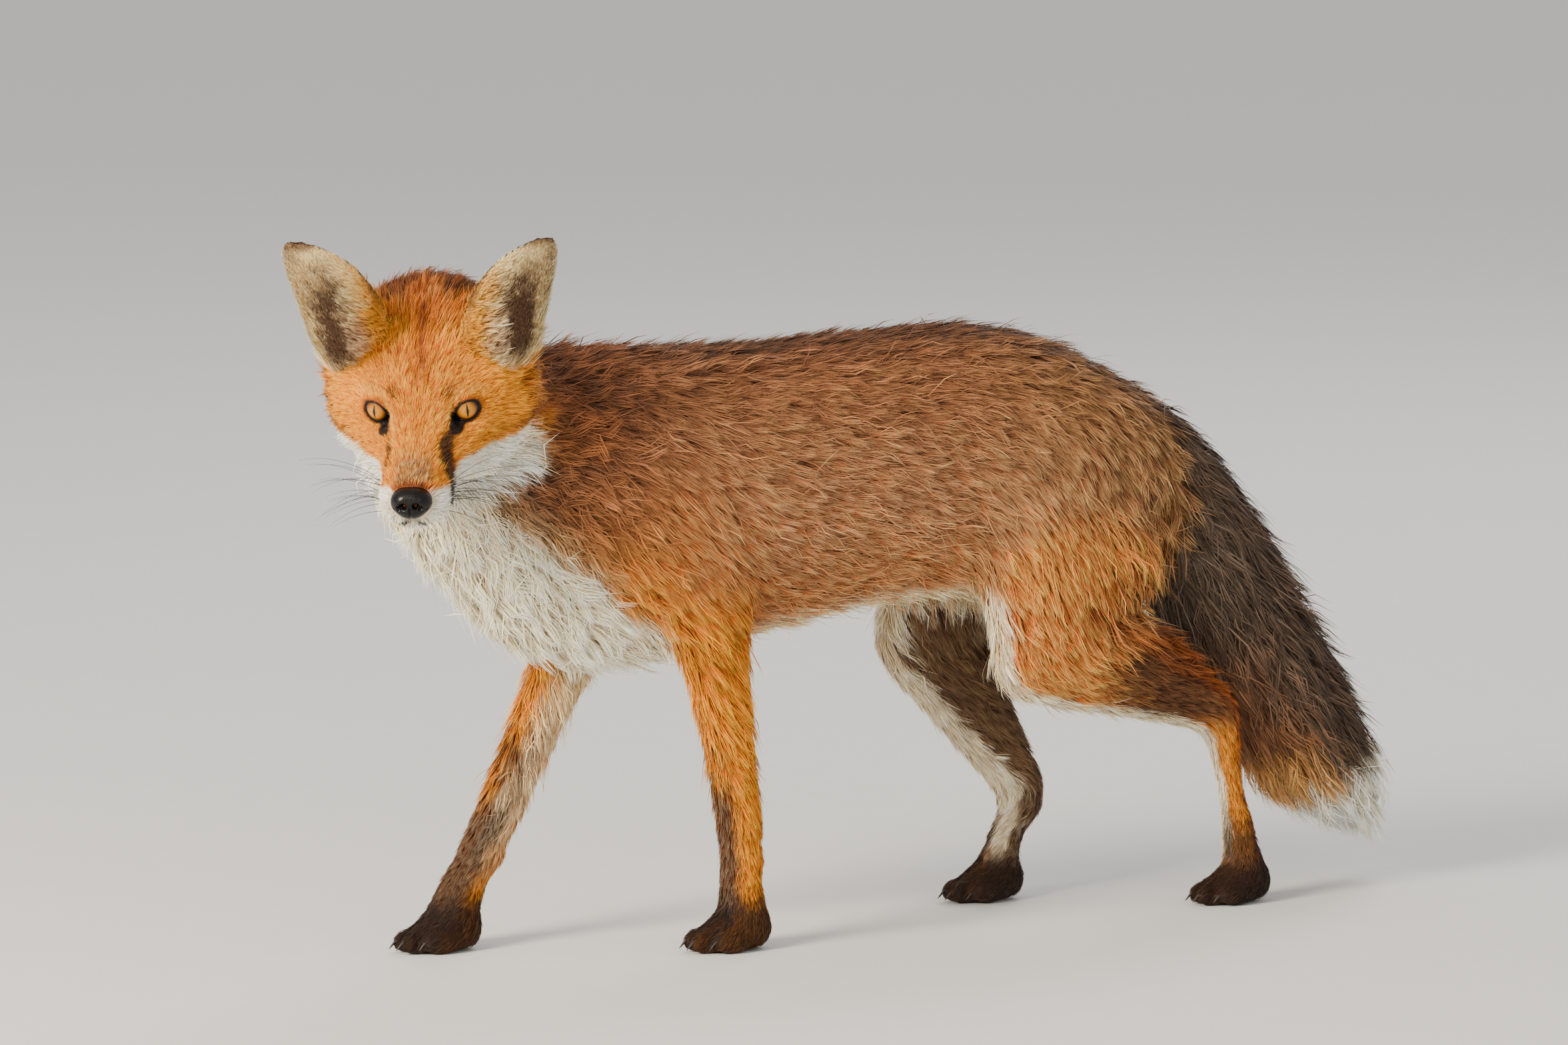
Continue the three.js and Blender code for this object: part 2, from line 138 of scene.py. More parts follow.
class Lens:
    """Magnifies what lies past a plane, smoothly, about a line through the plane's centre."""

    def __init__(self, centre, ahead, power, ramp):
        self.centre, self.ahead = np.asarray(centre, float), unit(ahead)
        self.real = np.linspace(0, 1.0, 2001)
        self.scale = 1 + (power - 1) * fade(0, ramp, self.real)
        steps = (self.scale[1:] + self.scale[:-1]) / 2 * np.diff(self.real)
        self.shown = np.concatenate([[0], np.cumsum(steps)])

    def parts(self, p):
        d = p - self.centre
        along = d @ self.ahead
        return along, d - along[:, None] * self.ahead

    def size(self, p):
        return np.interp(self.parts(p)[0], self.real, self.scale)

    def magnify(self, p):
        along, aside = self.parts(p)
        run = np.where(along > 0, np.interp(along, self.real, self.shown), along)
        return self.centre + run[:, None] * self.ahead + aside * self.size(p)[:, None]

    def restore(self, p):
        shown, aside = self.parts(p)
        along = np.where(shown > 0, np.interp(shown, self.shown, self.real), shown)
        scale = np.interp(along, self.real, self.scale)
        return self.centre + along[:, None] * self.ahead + aside / scale[:, None]


# What each kind of lens magnifies by, and how far past its plane it takes to reach that.
HEAD_LENS, PAW_LENS = {"power": 2.15, "ramp": 0.035}, {"power": 1.6, "ramp": 0.02}
NECK_PLANE, NECK_WAY = head.out(-59, 46, -8), (0.3, -0.75, 0.55)
PAW_ZONE = 0.055  # height under which the paws' lenses work
paw_centres = {leg: points_of(f"{leg}_paw").mean(0) for leg in LEGS}
lenses = [Lens(NECK_PLANE, NECK_WAY, **HEAD_LENS)]
lenses += [Lens((*paw_centres[leg][:2], PAW_ZONE), (0, 0, -1), **PAW_LENS) for leg in LEGS]


def lens_zones(p):
    """Each lens with the points it works on: the head's past the neck's plane, low down the nearest paw's."""
    ahead = lenses[0].parts(p)[0] > 0
    low = np.flatnonzero((p[:, 2] < PAW_ZONE) & ~ahead)
    gaps = [np.linalg.norm(p[low, :2] - paw_centres[leg][:2], axis=1) for leg in LEGS]
    paw = np.argmin(gaps, axis=0)
    return [(lenses[0], ahead)] + [(lens, low[paw == i]) for i, lens in enumerate(lenses[1:])]


def through_lenses(p, way):
    """Points magnified or restored."""
    out = p.copy()
    for lens, mine in lens_zones(p):
        out[mine] = getattr(lens, way)(p[mine])
    return out


def lens_size(p):
    """How much the lenses magnify at real points."""
    size = np.ones(len(p))
    for lens, mine in lens_zones(p):
        size[mine] = lens.size(p[mine])
    return size


# ---------------------------------------------------------------- the closed outline as a distance field

VOXEL = 3.1 * MM
BAND = 12  # half width of the distance field, in voxels
SEAM_REACH = 12 * MM  # facets this far from a cut are fully rounded
FAR_OFF = (9, 9, 9)  # stands in where there is no neighbour


def clean_mesh(nodes):
    """These CAD nodes' triangles with shared vertices, as a new mesh."""
    bm = bmesh.new()
    for node in nodes:
        bm.from_mesh(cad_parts[node].data)
    bmesh.ops.remove_doubles(bm, verts=bm.verts, dist=0.02 * MM)
    mesh = bpy.data.meshes.new("clean")
    bm.to_mesh(mesh)
    bm.free()
    return mesh


def linked(name, data):
    made = bpy.data.objects.new(name, data)
    bpy.context.scene.collection.objects.link(made)
    return made


def subdivided(mesh, kind):
    """Vertices and triangles of a mesh after two rounds of one kind of subdivision."""
    ob = linked("subdividing", mesh)
    modifier = ob.modifiers.new("subdivide", "SUBSURF")
    modifier.subdivision_type, modifier.levels = kind, 2
    made = ob.evaluated_get(bpy.context.evaluated_depsgraph_get()).to_mesh()
    made.calc_loop_triangles()
    points = np.empty(len(made.vertices) * 3, np.float32)
    made.vertices.foreach_get("co", points)
    triangles = np.empty(len(made.loop_triangles) * 3, np.int32)
    made.loop_triangles.foreach_get("vertices", triangles)
    bpy.data.objects.remove(ob)
    return points.reshape(-1, 3).astype(float), triangles.reshape(-1, 3)


def spread_over(node):
    """Points all over a CAD node's facets."""
    return subdivided(clean_mesh([node]), "SIMPLE")[0]


def tree_of(points):
    tree = kdtree.KDTree(len(points))
    for i, p in enumerate(points.tolist()):
        tree.insert(p, i)
    tree.balance()
    return tree


def nearest(tree, points):
    return np.array([tree.find(p)[1] for p in points.tolist()])


def softened(nodes):
    """These nodes' surfaces as one soup, their facets rounded except close to the cuts between nodes."""
    plain, soft, faces, starts = [], [], [], [0]
    for node in nodes:
        mesh = clean_mesh([node])
        flat, triangles = subdivided(mesh, "SIMPLE")
        plain.append(flat)
        soft.append(subdivided(mesh, "CATMULL_CLARK")[0])
        faces.append(triangles + starts[-1])
        starts.append(starts[-1] + len(flat))
    every = np.concatenate(plain)
    reach = np.empty(len(every))
    for low, high in zip(starts, starts[1:]):
        mine, others = every[low:high], np.delete(every, slice(low, high), 0)
        near = (others > mine.min(0) - SEAM_REACH) & (others < mine.max(0) + SEAM_REACH)
        tree = tree_of(np.vstack([FAR_OFF, others[near.all(1)]]))
        reach[low:high] = [tree.find(p)[2] for p in mine]
    share = fade(0.25 * SEAM_REACH, SEAM_REACH, reach)[:, None]
    return every * (1 - share) + np.concatenate(soft) * share, np.concatenate(faces)


def blurred(field, sigma):
    """A dense field blurred by a Gaussian of sigma voxels, axis by axis."""
    reach = math.ceil(3 * sigma)
    weights = np.exp(-0.5 * (np.arange(-reach, reach + 1) / sigma) ** 2)
    weights = (weights / weights.sum()).astype(np.float32)
    for axis in range(3):
        shifted = (weight * np.roll(field, i - reach, axis) for i, weight in enumerate(weights))
        field = sum(shifted)
    return field


def distance_grid(points, faces, kind="triangles"):
    """Signed distance to a closed surface, kept in a band of voxels either side of it."""
    shape = {"points": points.astype(np.float32), kind: faces.astype(np.uint32)}
    scale = vdb.createLinearTransform(VOXEL)
    return vdb.FloatGrid.createLevelSetFromPolygons(**shape, transform=scale, halfWidth=BAND)


def smooth_union(a, b, width):
    mix = np.clip(0.5 + 0.5 * (b - a) / width, 0, 1)
    return b * (1 - mix) + a * mix - width * mix * (1 - mix)


# ---------------------------------------------------------------- the lie of the coat


def spot(node, across, along, up):
    """A point in a CAD node's box, as shares of its x, y and z."""
    low, high = (np.array(corner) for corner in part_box(node))
    return low + (high - low) * np.array([across, along, up])


# Where, which way the hair lies, its length in mm and how many degrees it lifts off the skin.
# Body: shares of a node's box, with the direction in the row frame. Both are mirrored.
BODY_GUIDES = [
    ("trunk", (0.5, 0.12, 1.0), (0, 1, -0.05), 21, 9),
    ("trunk", (0.5, 0.5, 1.0), (0, 1, -0.05), 21, 9),
    ("trunk", (0.5, 0.84, 0.95), (0, 1, -0.35), 23, 10),
    ("trunk", (0.5, 1.0, 0.6), (0, 0.6, -1), 30, 13),
    ("trunk", (1.0, 0.15, 0.75), (0, 1, -0.3), 20, 10),
    ("trunk", (1.0, 0.15, 0.35), (0, 0.8, -0.6), 17, 9),
    ("trunk", (1.0, 0.5, 0.75), (0, 1, -0.2), 20, 10),
    ("trunk", (1.0, 0.5, 0.3), (0, 1, -0.3), 20, 10),
    ("trunk", (1.0, 0.8, 0.7), (0, 1, -0.5), 20, 10),
    ("trunk", (1.0, 0.84, 0.35), (0, 0.75, -0.75), 18, 10),
    ("trunk", (0.5, 0.3, 0.0), (0, 1, -0.1), 30, 14),
    ("trunk", (0.5, 0.7, 0.05), (0, 1, -0.1), 30, 14),
    ("trunk", (0.5, 0.02, 0.1), (0, 0.5, -0.85), 34, 19),
    ("neck", (0.5, 0.55, 1.0), (0, 1, 0), 26, 12),
    ("neck", (1.0, 0.6, 0.75), (0, 1, -0.35), 28, 13),
    ("neck", (1.0, 0.6, 0.4), (0, 0.7, -0.7), 30, 15),
    ("neck", (0.6, 0.1, 0.45), (0, 0.35, -0.95), 34, 18),
    ("neck", (0.5, 0.45, 0.1), (0, 0.4, -0.9), 38, 21),
]
BODY_REACH = 0.055
# Legs: length and lift at the top of each length of leg, which the hair follows down.
LEG_HAIR = {
    "upper_arm": (16, 10),
    "forearm": (10, 10),
    "pastern": (8, 10),
    "paw": (4.6, 9),
    "thigh": (18, 10),
    "shank": (13, 10),
    "metatarsus": (8, 10),
}
LEG_REACH, PAW_REACH = 0.85, 0.013  # a share of the leg's radius, and in metres
LEG_STATIONS = 5  # guides along a length of leg
# Tail: length and lift from its root to its tip.
TAIL_HAIR = [(26, 13), (34, 16), (42, 19), (48, 20), (52, 20)]
TAIL_HAIR += [(52, 20), (50, 19), (48, 18), (44, 16), (40, 13)]
TAIL_REACH = 0.026
# Head: place and direction in the head's frame, in mm; those off the middle are mirrored.
HEAD_GUIDES = [
    ((60, 0, -13), (-1, 0, 0.25), 2.6, 9),
    ((38, 0, -6), (-1, 0, 0.2), 3.6, 9),
    ((12, 0, 7), (-0.75, 0, 0.65), 5.2, 11),
    ((-14, 0, 31), (-0.75, 0, 0.65), 7, 13),
    ((-50, 0, 50), (-1, 0, 0.15), 12, 22),
    ((-88, 0, 30), (-0.8, 0, -0.5), 18, 16),
    ((48, 20, -28), (-1, 0.15, -0.1), 3.6, 9),
    ((26, 24, -28), (-1, 0.3, 0), 4.6, 10),
    ((52, 16, -42), (-0.9, 0.25, -0.45), 4.5, 11),
    ((56, 0, -48), (-0.7, 0, -0.7), 6, 18),
    ((20, 0, -54), (-0.95, 0, -0.3), 11, 16),
    ((24, 20, -46), (-0.95, 0.2, -0.3), 7, 13),
    ((8, 34, -16), (-0.8, 0.6, -0.1), 6, 11),
    ((-14, 52, -20), (-0.75, 0.6, -0.2), 11, 16),
    ((-40, 64, -20), (-0.75, 0.55, -0.4), 21, 23),
    ((-28, 44, -48), (-0.75, 0.35, -0.6), 22, 22),
    ((-35, 0, -62), (-0.85, 0, -0.5), 26, 19),
    ((2, 22, 14), (-0.6, 0.2, 0.75), 5.5, 13),
    ((-10, 40, 4), (-0.75, 0.6, 0.25), 7, 12),
    ((-36, 55, 16), (-0.9, 0.35, 0.05), 12, 17),
    ((-30, 32, 38), (-0.6, 0.2, 0.75), 10, 17),
    ((14, 11, -2), (-0.75, 0.25, 0.6), 4.6, 10),
    ((-75, 42, 20), (-0.9, 0.15, -0.3), 18, 17),
]
HEAD_REACH = 0.016


def middle_line(nodes, way, stations):
    """Middles of a run of nodes at even stations along way, with the mean radius at each."""
    p = np.concatenate([spread_over(node) for node in nodes])
    axis = unit(way)
    run = p @ axis
    edges = np.linspace(run.min(), run.max(), stations + 1)
    slices = [p[(run >= low) & (run <= high)] for low, high in zip(edges, edges[1:])]
    middles = np.array([(s.min(0) + s.max(0)) / 2 for s in slices])
    aside = [s - m - ((s - m) @ axis)[:, None] * axis for s, m in zip(slices, middles)]
    return middles, np.array([np.linalg.norm(a, axis=1).mean() for a in aside])


def leg_line(node):
    """The middle line of a length of leg, from its top to its bottom."""
    p = points_of(node)
    axis = np.linalg.svd(p - p.mean(0), full_matrices=False)[2][0]
    return middle_line([node], axis * (-1 if axis[2] > 0 else 1), LEG_STATIONS)


def tail_line():
    """The tail's middle line, from its root to its tip."""
    p = np.concatenate([points_of("tail"), points_of("tail_tip")])
    chord = p[np.argmin(p[:, 2])] - p[np.argmax(p[:, 2])]
    return middle_line(["tail", "tail_tip"], chord, len(TAIL_HAIR))[0]


def coat_guides():
    """Arrays of every guide's place, direction, length, lift and reach, in the row frame and metres."""
    rows = []
    for node, (across, along, up), (x, y, z), length, lift in BODY_GUIDES:
        for side in (1, -1) if across != 0.5 else (1,):
            place = spot(node, 0.5 + side * (across - 0.5), along, up)
            rows.append((place, (side * x, y, z), length, lift, BODY_REACH))
    for leg in LEGS:
        parts = LEG_NODES[leg[:4]]
        for part, below in zip(parts, parts[1:]):
            middles, radii = leg_line(f"{leg}_{part}")
            for i, (middle, radius) in enumerate(zip(middles, radii)):
                hair = [a + (b - a) * (i / len(middles)) for a, b in zip(LEG_HAIR[part], LEG_HAIR[below])]
                rows.append((middle, middles[-1] - middles[0], *hair, radius * LEG_REACH))
        rows.append((paw_centres[leg], (0, -0.85, -0.5), *LEG_HAIR["paw"], PAW_REACH))
    middles = tail_line()
    for i, (length, lift) in enumerate(TAIL_HAIR):
        ahead = middles[min(i + 1, len(middles) - 1)] - middles[max(i - 1, 0)]
        rows.append((middles[i], ahead, length, lift, TAIL_REACH))
    for (f, l, u), (df, dl, du), length, lift in HEAD_GUIDES:
        reach = HEAD_REACH * (1 + length / 24)
        for side in (1, -1) if l else (1,):
            place, way = head.out(f, side * l, u), head.turn_out((df, side * dl, du))
            rows.append((place, way, length, lift, reach))
    place, way, length, lift, reach = zip(*rows)
    return SimpleNamespace(
        place=np.array(place),
        way=unit(np.array(way)),
        length=np.array(length) * MM,
        lift=np.radians(lift),
        reach=np.array(reach),
    )


guides = coat_guides()
AT_ONCE = 100_000  # points worked on in one go, to save memory


def coat_at(p):
    """The coat's direction, length and lift at points near the skin."""
    way, length, lift = np.empty((len(p), 3)), np.empty(len(p)), np.empty(len(p))
    for low in range(0, len(p), AT_ONCE):
        part = slice(low, low + AT_ONCE)
        gap = ((p[part, None] - guides.place) ** 2).sum(2) / (2 * guides.reach**2)
        weight = np.exp(gap.min(1, keepdims=True) - gap)
        weight /= weight.sum(1, keepdims=True)
        way[part], length[part] = weight @ guides.way, weight @ guides.length
        lift[part] = weight @ guides.lift
    return way, length, lift


def coat_depth(p):
    """How far the coat's tips stand off the skin."""
    _, length, lift = coat_at(p)
    return 0.9 * length * np.sin(lift) * fade(0, 12 * MM, p[:, 2])


# ---------------------------------------------------------------- the skin


def dense(grid, low, shape):
    found = np.empty(shape, np.float32)
    grid.copyToArray(found, ijk=low)
    return found


def level_set_of(nodes):
    """The nodes' joined outline, in the lenses' space, without the thin cuts between them."""
    points, faces = softened(nodes)
    grid = distance_grid(through_lenses(points, "magnify"), faces)
    shell, _, quads = grid.convertToPolygons()
    return distance_grid(shell, quads, "quads")


EYE_RADIUS = (np.array(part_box("eye_left")[1]) - np.array(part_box("eye_left")[0])).max() / 2 / MM
LID = SimpleNamespace(skin=0.9, back=3.0, blend=2.5, width=7.8, height=5.9, drop=0.5, turn=20, tilt=16)
EYE_HOLLOW = SimpleNamespace(depth=3.6, reach=12.0)
INNER_CORNER = SimpleNamespace(out=2.2, down=2.0, flatter=0.35)


class Eye:
    """One eye's own frame, in millimetres: out of the head along its gaze, across and up."""

    def __init__(self, side):
        self.centre = np.array([-head.EYE_BACK, side * head.eye_spread, 0.0])
        turn, tilt = math.radians(LID.turn) * side, math.radians(LID.tilt)
        self.gaze = unit([math.cos(turn), math.sin(turn), 0.05])
        outward = unit(np.cross((0, 0, 1), self.gaze)) * side
        up = np.cross(self.gaze, outward) * side
        # The outer corner sits higher than the inner one.
        self.outward = unit(math.cos(tilt) * outward + math.sin(tilt) * up)
        self.up = unit(np.cross(self.gaze, self.outward)) * side

    def into(self, h):
        """Gaze, outward and up coordinates of places in the head's frame."""
        d = h - self.centre
        return np.stack([d @ self.gaze, d @ self.outward, d @ self.up], -1)

    def out(self, g, o, u):
        g, o, u = (np.asarray(x, float)[..., None] for x in (g, o, u))
        h = self.centre + g * self.gaze + o * self.outward + u * self.up
        return head.out(h[..., 0], h[..., 1], h[..., 2])


eyes = [Eye(1), Eye(-1)]


def lid_edge(share):
    """The almond between the lids, as outward and up in mm; share runs once round it from 0 to 1."""
    angle = 2 * np.pi * np.asarray(share)
    outward = LID.width * np.cos(angle)
    up = LID.height * np.sin(angle)
    # The inner corner is drawn out and down, and the upper lid is fuller towards it.
    inner = fade(0.2, 1.0, -np.cos(angle))
    up = up * (1 - INNER_CORNER.flatter * inner) - INNER_CORNER.down * inner - LID.drop
    return outward - INNER_CORNER.out * inner, up


def inside_almond(o, u):
    """Below 0 inside the almond between the lids, in millimetres, roughly."""
    inner = fade(0.2, 1.0, -o / (LID.width + INNER_CORNER.out))
    x = (o + INNER_CORNER.out * inner) / LID.width
    y = (u + INNER_CORNER.down * inner + LID.drop) / (LID.height * (1 - INNER_CORNER.flatter * inner))
    return (np.sqrt(x**2 + y**2) - 1) * LID.height


# Small forms of the face, mirrored: place in the head's frame, reach and height in mm.
FACE_FORMS = [
    ((47, 14, -33), 8.5, 1.6),  # whisker pads
    ((60, 9, -36), 5.0, 0.7),
    ((0, 19, 12), 7.5, 1.3),  # brows
    ((14, 0, 3), 8.0, -0.9),  # the stop
    ((-22, 0, 33), 11.0, -0.8),  # furrow of the forehead
    ((10, 31, -14), 8.0, 1.0),  # cheek bones
    ((26, 19, -13), 8.0, -1.2),  # hollows before the eyes
    ((30, 27, -34), 9.0, -1.0),
]
# The lips' line from under the nose back to the corner of the mouth, in the head's frame, in mm.
MOUTH = [(68, 0, -37), (66, 3, -40), (61, 9, -42.5), (50, 16, -42.5), (36, 20.5, -40.5), (20, 24, -38.5)]
LIP_GROOVE = SimpleNamespace(width=1.9, depth=1.5)


def path_distance(p, path):
    """How far points are from a line through the places of a path."""
    best = np.full(len(p), np.inf)
    for a, b in zip(path, path[1:]):
        a, b = np.array(a, float), np.array(b, float)
        t = np.clip(((p - a) @ (b - a)) / ((b - a) @ (b - a)), 0, 1)
        best = np.minimum(best, np.linalg.norm(p - a - t[:, None] * (b - a), axis=1))
    return best


def face_relief(h):
    """How far the face's small forms stand out, in metres, at places in the head's frame."""
    total, h = np.zeros(len(h)), folded(h)
    for place, reach, height in FACE_FORMS:
        gap = np.linalg.norm(h - place, axis=1)
        total += height * np.exp(-0.5 * (gap / reach * 1.6) ** 2)
    gap = path_distance(h, MOUTH)
    total -= LIP_GROOVE.depth * np.exp(-0.5 * (gap / LIP_GROOVE.width) ** 2 * 2)
    return total * MM


# Toes, and the clefts between them, in mm. A cleft's path starts between two claws.
TOE = SimpleNamespace(half=(5.7, 11.0, 7.4), ahead=(0, 8.6, -0.6), blend=1.6, across=45, below=35)
CLEFT = SimpleNamespace(width=2.0, depth=2.4, path=((0, -1, -5), (0, 1, 4), (0, 6, 9), (0, 14, 14)))


def toed(field, p, scale):
    """Adds four toes behind the claws of each paw, with clefts between them."""
    for leg in LEGS:
        away = np.linalg.norm(p[:, :2] - paw_centres[leg][:2], axis=1)
        mine = np.flatnonzero((away < TOE.across * MM) & (p[:, 2] < TOE.below * MM))
        q, value, roots = p[mine] / MM, field[mine], []
        for i in range(1, 5):
            claw = points_of(f"{leg}_claw_{i}") / MM
            roots.append(claw[claw[:, 1] > np.quantile(claw[:, 1], 0.8)].mean(0))
            toe = (q - roots[-1] - TOE.ahead) / TOE.half
            shape = (np.linalg.norm(toe, axis=1) - 1) * min(TOE.half) * MM * scale[mine]
            value = smooth_union(value, shape, TOE.blend * MM * scale[mine])
        for a, b in zip(roots, roots[1:]):
            gap = path_distance(q, [(a + b) / 2 + step for step in CLEFT.path]) / CLEFT.width
            value += CLEFT.depth * MM * scale[mine] * np.exp(-(gap**2))
        field[mine] = value
    return field


def carved_eyes(field, h, scale):
    """Lays a lid over each eyeball and opens it between the lids. h is in the head's frame."""
    for eye in eyes:
        g, o, u = eye.into(h).T
        ball = (np.sqrt(g**2 + o**2 + u**2) - EYE_RADIUS - LID.skin) * MM * scale
        front = (-LID.back - g) * MM * scale
        field = smooth_union(field, np.maximum(ball, front), LID.blend * MM * scale)
        opening = np.maximum(inside_almond(o, u), -g) * MM * scale
        field = np.maximum(field, -opening)
    return field


EAR_BLUR, SKIN_BLUR = 0.6, 2.0  # voxels
EAR_DEPTH, EAR_FILLET = -0.75 * MM, 3.5 * MM  # below 0, so the thin ears are made a little thicker
EAR_MOUND = (1 * MM, 14 * MM)  # the skin rises to an ear's root over this distance
DEEPEST = 0.045  # the coat's depth is worked out this far into the body
MARGIN = 6  # voxels kept free round the outline
SKIN_ROUNDS, EAR_ROUNDS = 6, 20  # of smoothing, each a step in and a step out
STEP_IN, STEP_OUT = 0.5, -0.52


def skin_field():
    """The skin as a level set in the lenses' space: the outline drawn in by the coat's depth."""
    ear_grid = level_set_of(["ear_left", "ear_right"])
    body = level_set_of([n for n in FLESH if not n.startswith("ear")] + ["nose", "eye_left", "eye_right"])
    corners = [np.array(grid.evalActiveVoxelBoundingBox()) for grid in (ear_grid, body)]
    low = np.minimum(corners[0][0], corners[1][0]) - MARGIN
    shape = tuple(np.maximum(corners[0][1], corners[1][1]) + MARGIN + 1 - low)
    low = tuple(int(x) for x in low)
    ear_field = blurred(dense(ear_grid, low, shape), EAR_BLUR)
    field = blurred(dense(body, low, shape), SKIN_BLUR)
    near = np.flatnonzero((field.ravel() > -DEEPEST) & (field.ravel() < 4 * VOXEL))
    shown = (np.stack(np.unravel_index(near, shape), 1) + low) * VOXEL
    real = through_lenses(shown, "restore")
    scale = lens_size(real)
    h = head.into(real)
    from_ear = ear_field.ravel()[near] / scale
    value = field.ravel()[near] + scale * coat_depth(real) * fade(*EAR_MOUND, from_ear)
    for eye in eyes:
        away = np.linalg.norm(eye.into(h)[:, 1:], axis=1)
        in_front = fade(-4, 2, eye.into(h)[:, 0])
        value += scale * EYE_HOLLOW.depth * MM * (1 - fade(3, EYE_HOLLOW.reach, away)) * in_front
    value -= scale * face_relief(h)
    value = smooth_union(value, ear_field.ravel()[near] + scale * EAR_DEPTH, EAR_FILLET * scale)
    value = toed(carved_eyes(value, h, scale), real, scale)
    made = np.minimum(field, ear_field).ravel()
    made[near] = value
    out = vdb.FloatGrid()
    out.background = float(BAND * VOXEL)
    out.copyFromArray(made.reshape(shape).astype(np.float32), ijk=low)
    out.transform = vdb.createLinearTransform(VOXEL)
    return out


def summed(at, values, count):
    """Sums, at each of so many places, of the rows of values that belong there."""
    return np.stack([np.bincount(at, column, minlength=count) for column in values.T], 1)


def tuned(points, quads, share=1.0, rounds=SKIN_ROUNDS):
    """Takes the steps out of the surface by smoothing it and puffing it back out as often."""
    ends = np.roll(quads, -1, axis=1).ravel()
    starts = quads.ravel()
    starts, ends = np.concatenate([starts, ends]), np.concatenate([ends, starts])
    count = np.bincount(starts, minlength=len(points))[:, None]
    for _ in range(rounds):
        for step in (STEP_IN, STEP_OUT):
            points = points + share * step * (summed(starts, points[ends], len(points)) / count - points)
    return points


def facings(points, quads):
    """The quads' normals, as long as twice their areas."""
    a, b, c, d = (points[quads[:, k]] for k in range(4))
    return np.cross(c - a, d - b)


def outward_faces(points, faces):
    """Faces of a closed surface, turned over where they would face in."""
    a, b, c = (points[faces[:, k]] for k in range(3))
    middle = points.mean(0)
    volume = ((a - middle) * np.cross(b - middle, c - middle)).sum()
    return faces if volume > 0 else faces[:, ::-1].copy()


class Skin:
    """The skin's corners, faces, normals, and which CAD node of FLESH each corner belongs to."""

    def __init__(self):
        points, _, quads = skin_field().convertToPolygons()
        quads = quads.astype(int)
        self.points = tuned(through_lenses(points.astype(float), "restore"), quads)
        self.quads = outward_faces(self.points, quads)
        self.areas = np.linalg.norm(facings(self.points, self.quads), axis=1) / 2
        parts = [spread_over(node) for node in FLESH]
        owners = np.repeat(np.arange(len(FLESH)), [len(p) for p in parts])
        self.owner = owners[nearest(tree_of(np.concatenate(parts)), self.points)]
        on_ear = on(self.owner, "ear_left", "ear_right").astype(float)[:, None]
        self.points = tuned(self.points, self.quads, on_ear, EAR_ROUNDS)
        self.points[:, 2] = np.maximum(self.points[:, 2], 0)
        across = np.repeat(facings(self.points, self.quads), 4, axis=0)
        self.normals = unit(summed(self.quads.ravel(), across, len(self.points)))
        self.tree = tree_of(self.points)


skin = Skin()


def mesh_object(name, points, faces, smooth=True):
    mesh = bpy.data.meshes.new(name)
    mesh.vertices.add(len(points))
    mesh.vertices.foreach_set("co", np.ascontiguousarray(points, np.float32).ravel())
    corners = faces.shape[1]
    mesh.loops.add(faces.size)
    mesh.loops.foreach_set("vertex_index", np.ascontiguousarray(faces, np.int32).ravel())
    mesh.polygons.add(len(faces))
    mesh.polygons.foreach_set("loop_start", np.arange(0, faces.size, corners, dtype=np.int32))
    mesh.update(calc_edges=True)
    if smooth:
        mesh.shade_smooth()
    return linked(name, mesh)


# ---------------------------------------------------------------- the ears' own frames


EAR_STATIONS = 13  # where the ears' widths are measured


class Ear:
    """One ear's directions, taken from its CAD node, and places in it as shares of its size."""

    def __init__(self, node, side):
        p = spread_over(node)
        self.middle = p.mean(0)
        axes = np.linalg.svd(p - self.middle, full_matrices=False)[2]
        self.up = axes[0] * np.sign(axes[0] @ head.up)
        front = axes[2] * np.sign(axes[2] @ head.forward)
        across = np.cross(unit(front - (front @ self.up) * self.up), self.up)
        self.outward = across * np.sign(across @ head.left) * side
        self.front = unit(np.cross(self.up, self.outward))
        self.front *= np.sign(self.front @ head.forward)
        run, across = self.run_and_across(p)
        self.low, self.high = run.min(), run.max()
        self.runs = np.linspace(self.low, self.high, EAR_STATIONS)
        near = [across[np.abs(run - r) < 0.7 * (self.runs[1] - self.runs[0])] for r in self.runs]
        self.edges = np.array([(a.min(), a.max()) for a in near])

    def run_and_across(self, p):
        return (p - self.middle) @ self.up, (p - self.middle) @ self.outward

    def places(self, p, normals):
        """Share of the run from root to tip, -1 to 1 from inner to outer edge, and how far it faces front."""
        run, across = self.run_and_across(p)
        low, high = (np.interp(run, self.runs, self.edges[:, k]) for k in (0, 1))
        share = (run - self.low) / (self.high - self.low)
        return share, 2 * (across - low) / np.maximum(high - low, 1e-4) - 1, normals @ self.front


ears = {node: Ear(node, side) for node, side in (("ear_left", 1), ("ear_right", -1))}


# ---------------------------------------------------------------- markings


def colour(red, green, blue):
    """A colour given as 0 to 255 on a screen's scale, as linear light."""
    c = np.array([red, green, blue]) / 255
    return np.where(c <= 0.04045, c / 12.92, ((c + 0.055) / 1.055) ** 2.4)


FOX = colour(166, 84, 28)
RUST = colour(202, 98, 14)
BRIGHT = colour(228, 130, 12)
GOLD = colour(242, 168, 40)
RED_BROWN = colour(132, 58, 20)
TAN = colour(228, 178, 104)
CREAM = colour(242, 218, 176)
WHITE = colour(253, 242, 220)
GREY = colour(140, 128, 116)
BROWN = colour(92, 58, 38)
UMBER = colour(158, 94, 54)
DARK = colour(50, 34, 27)
BLACK = colour(24, 18, 16)
PINK = colour(206, 150, 122)


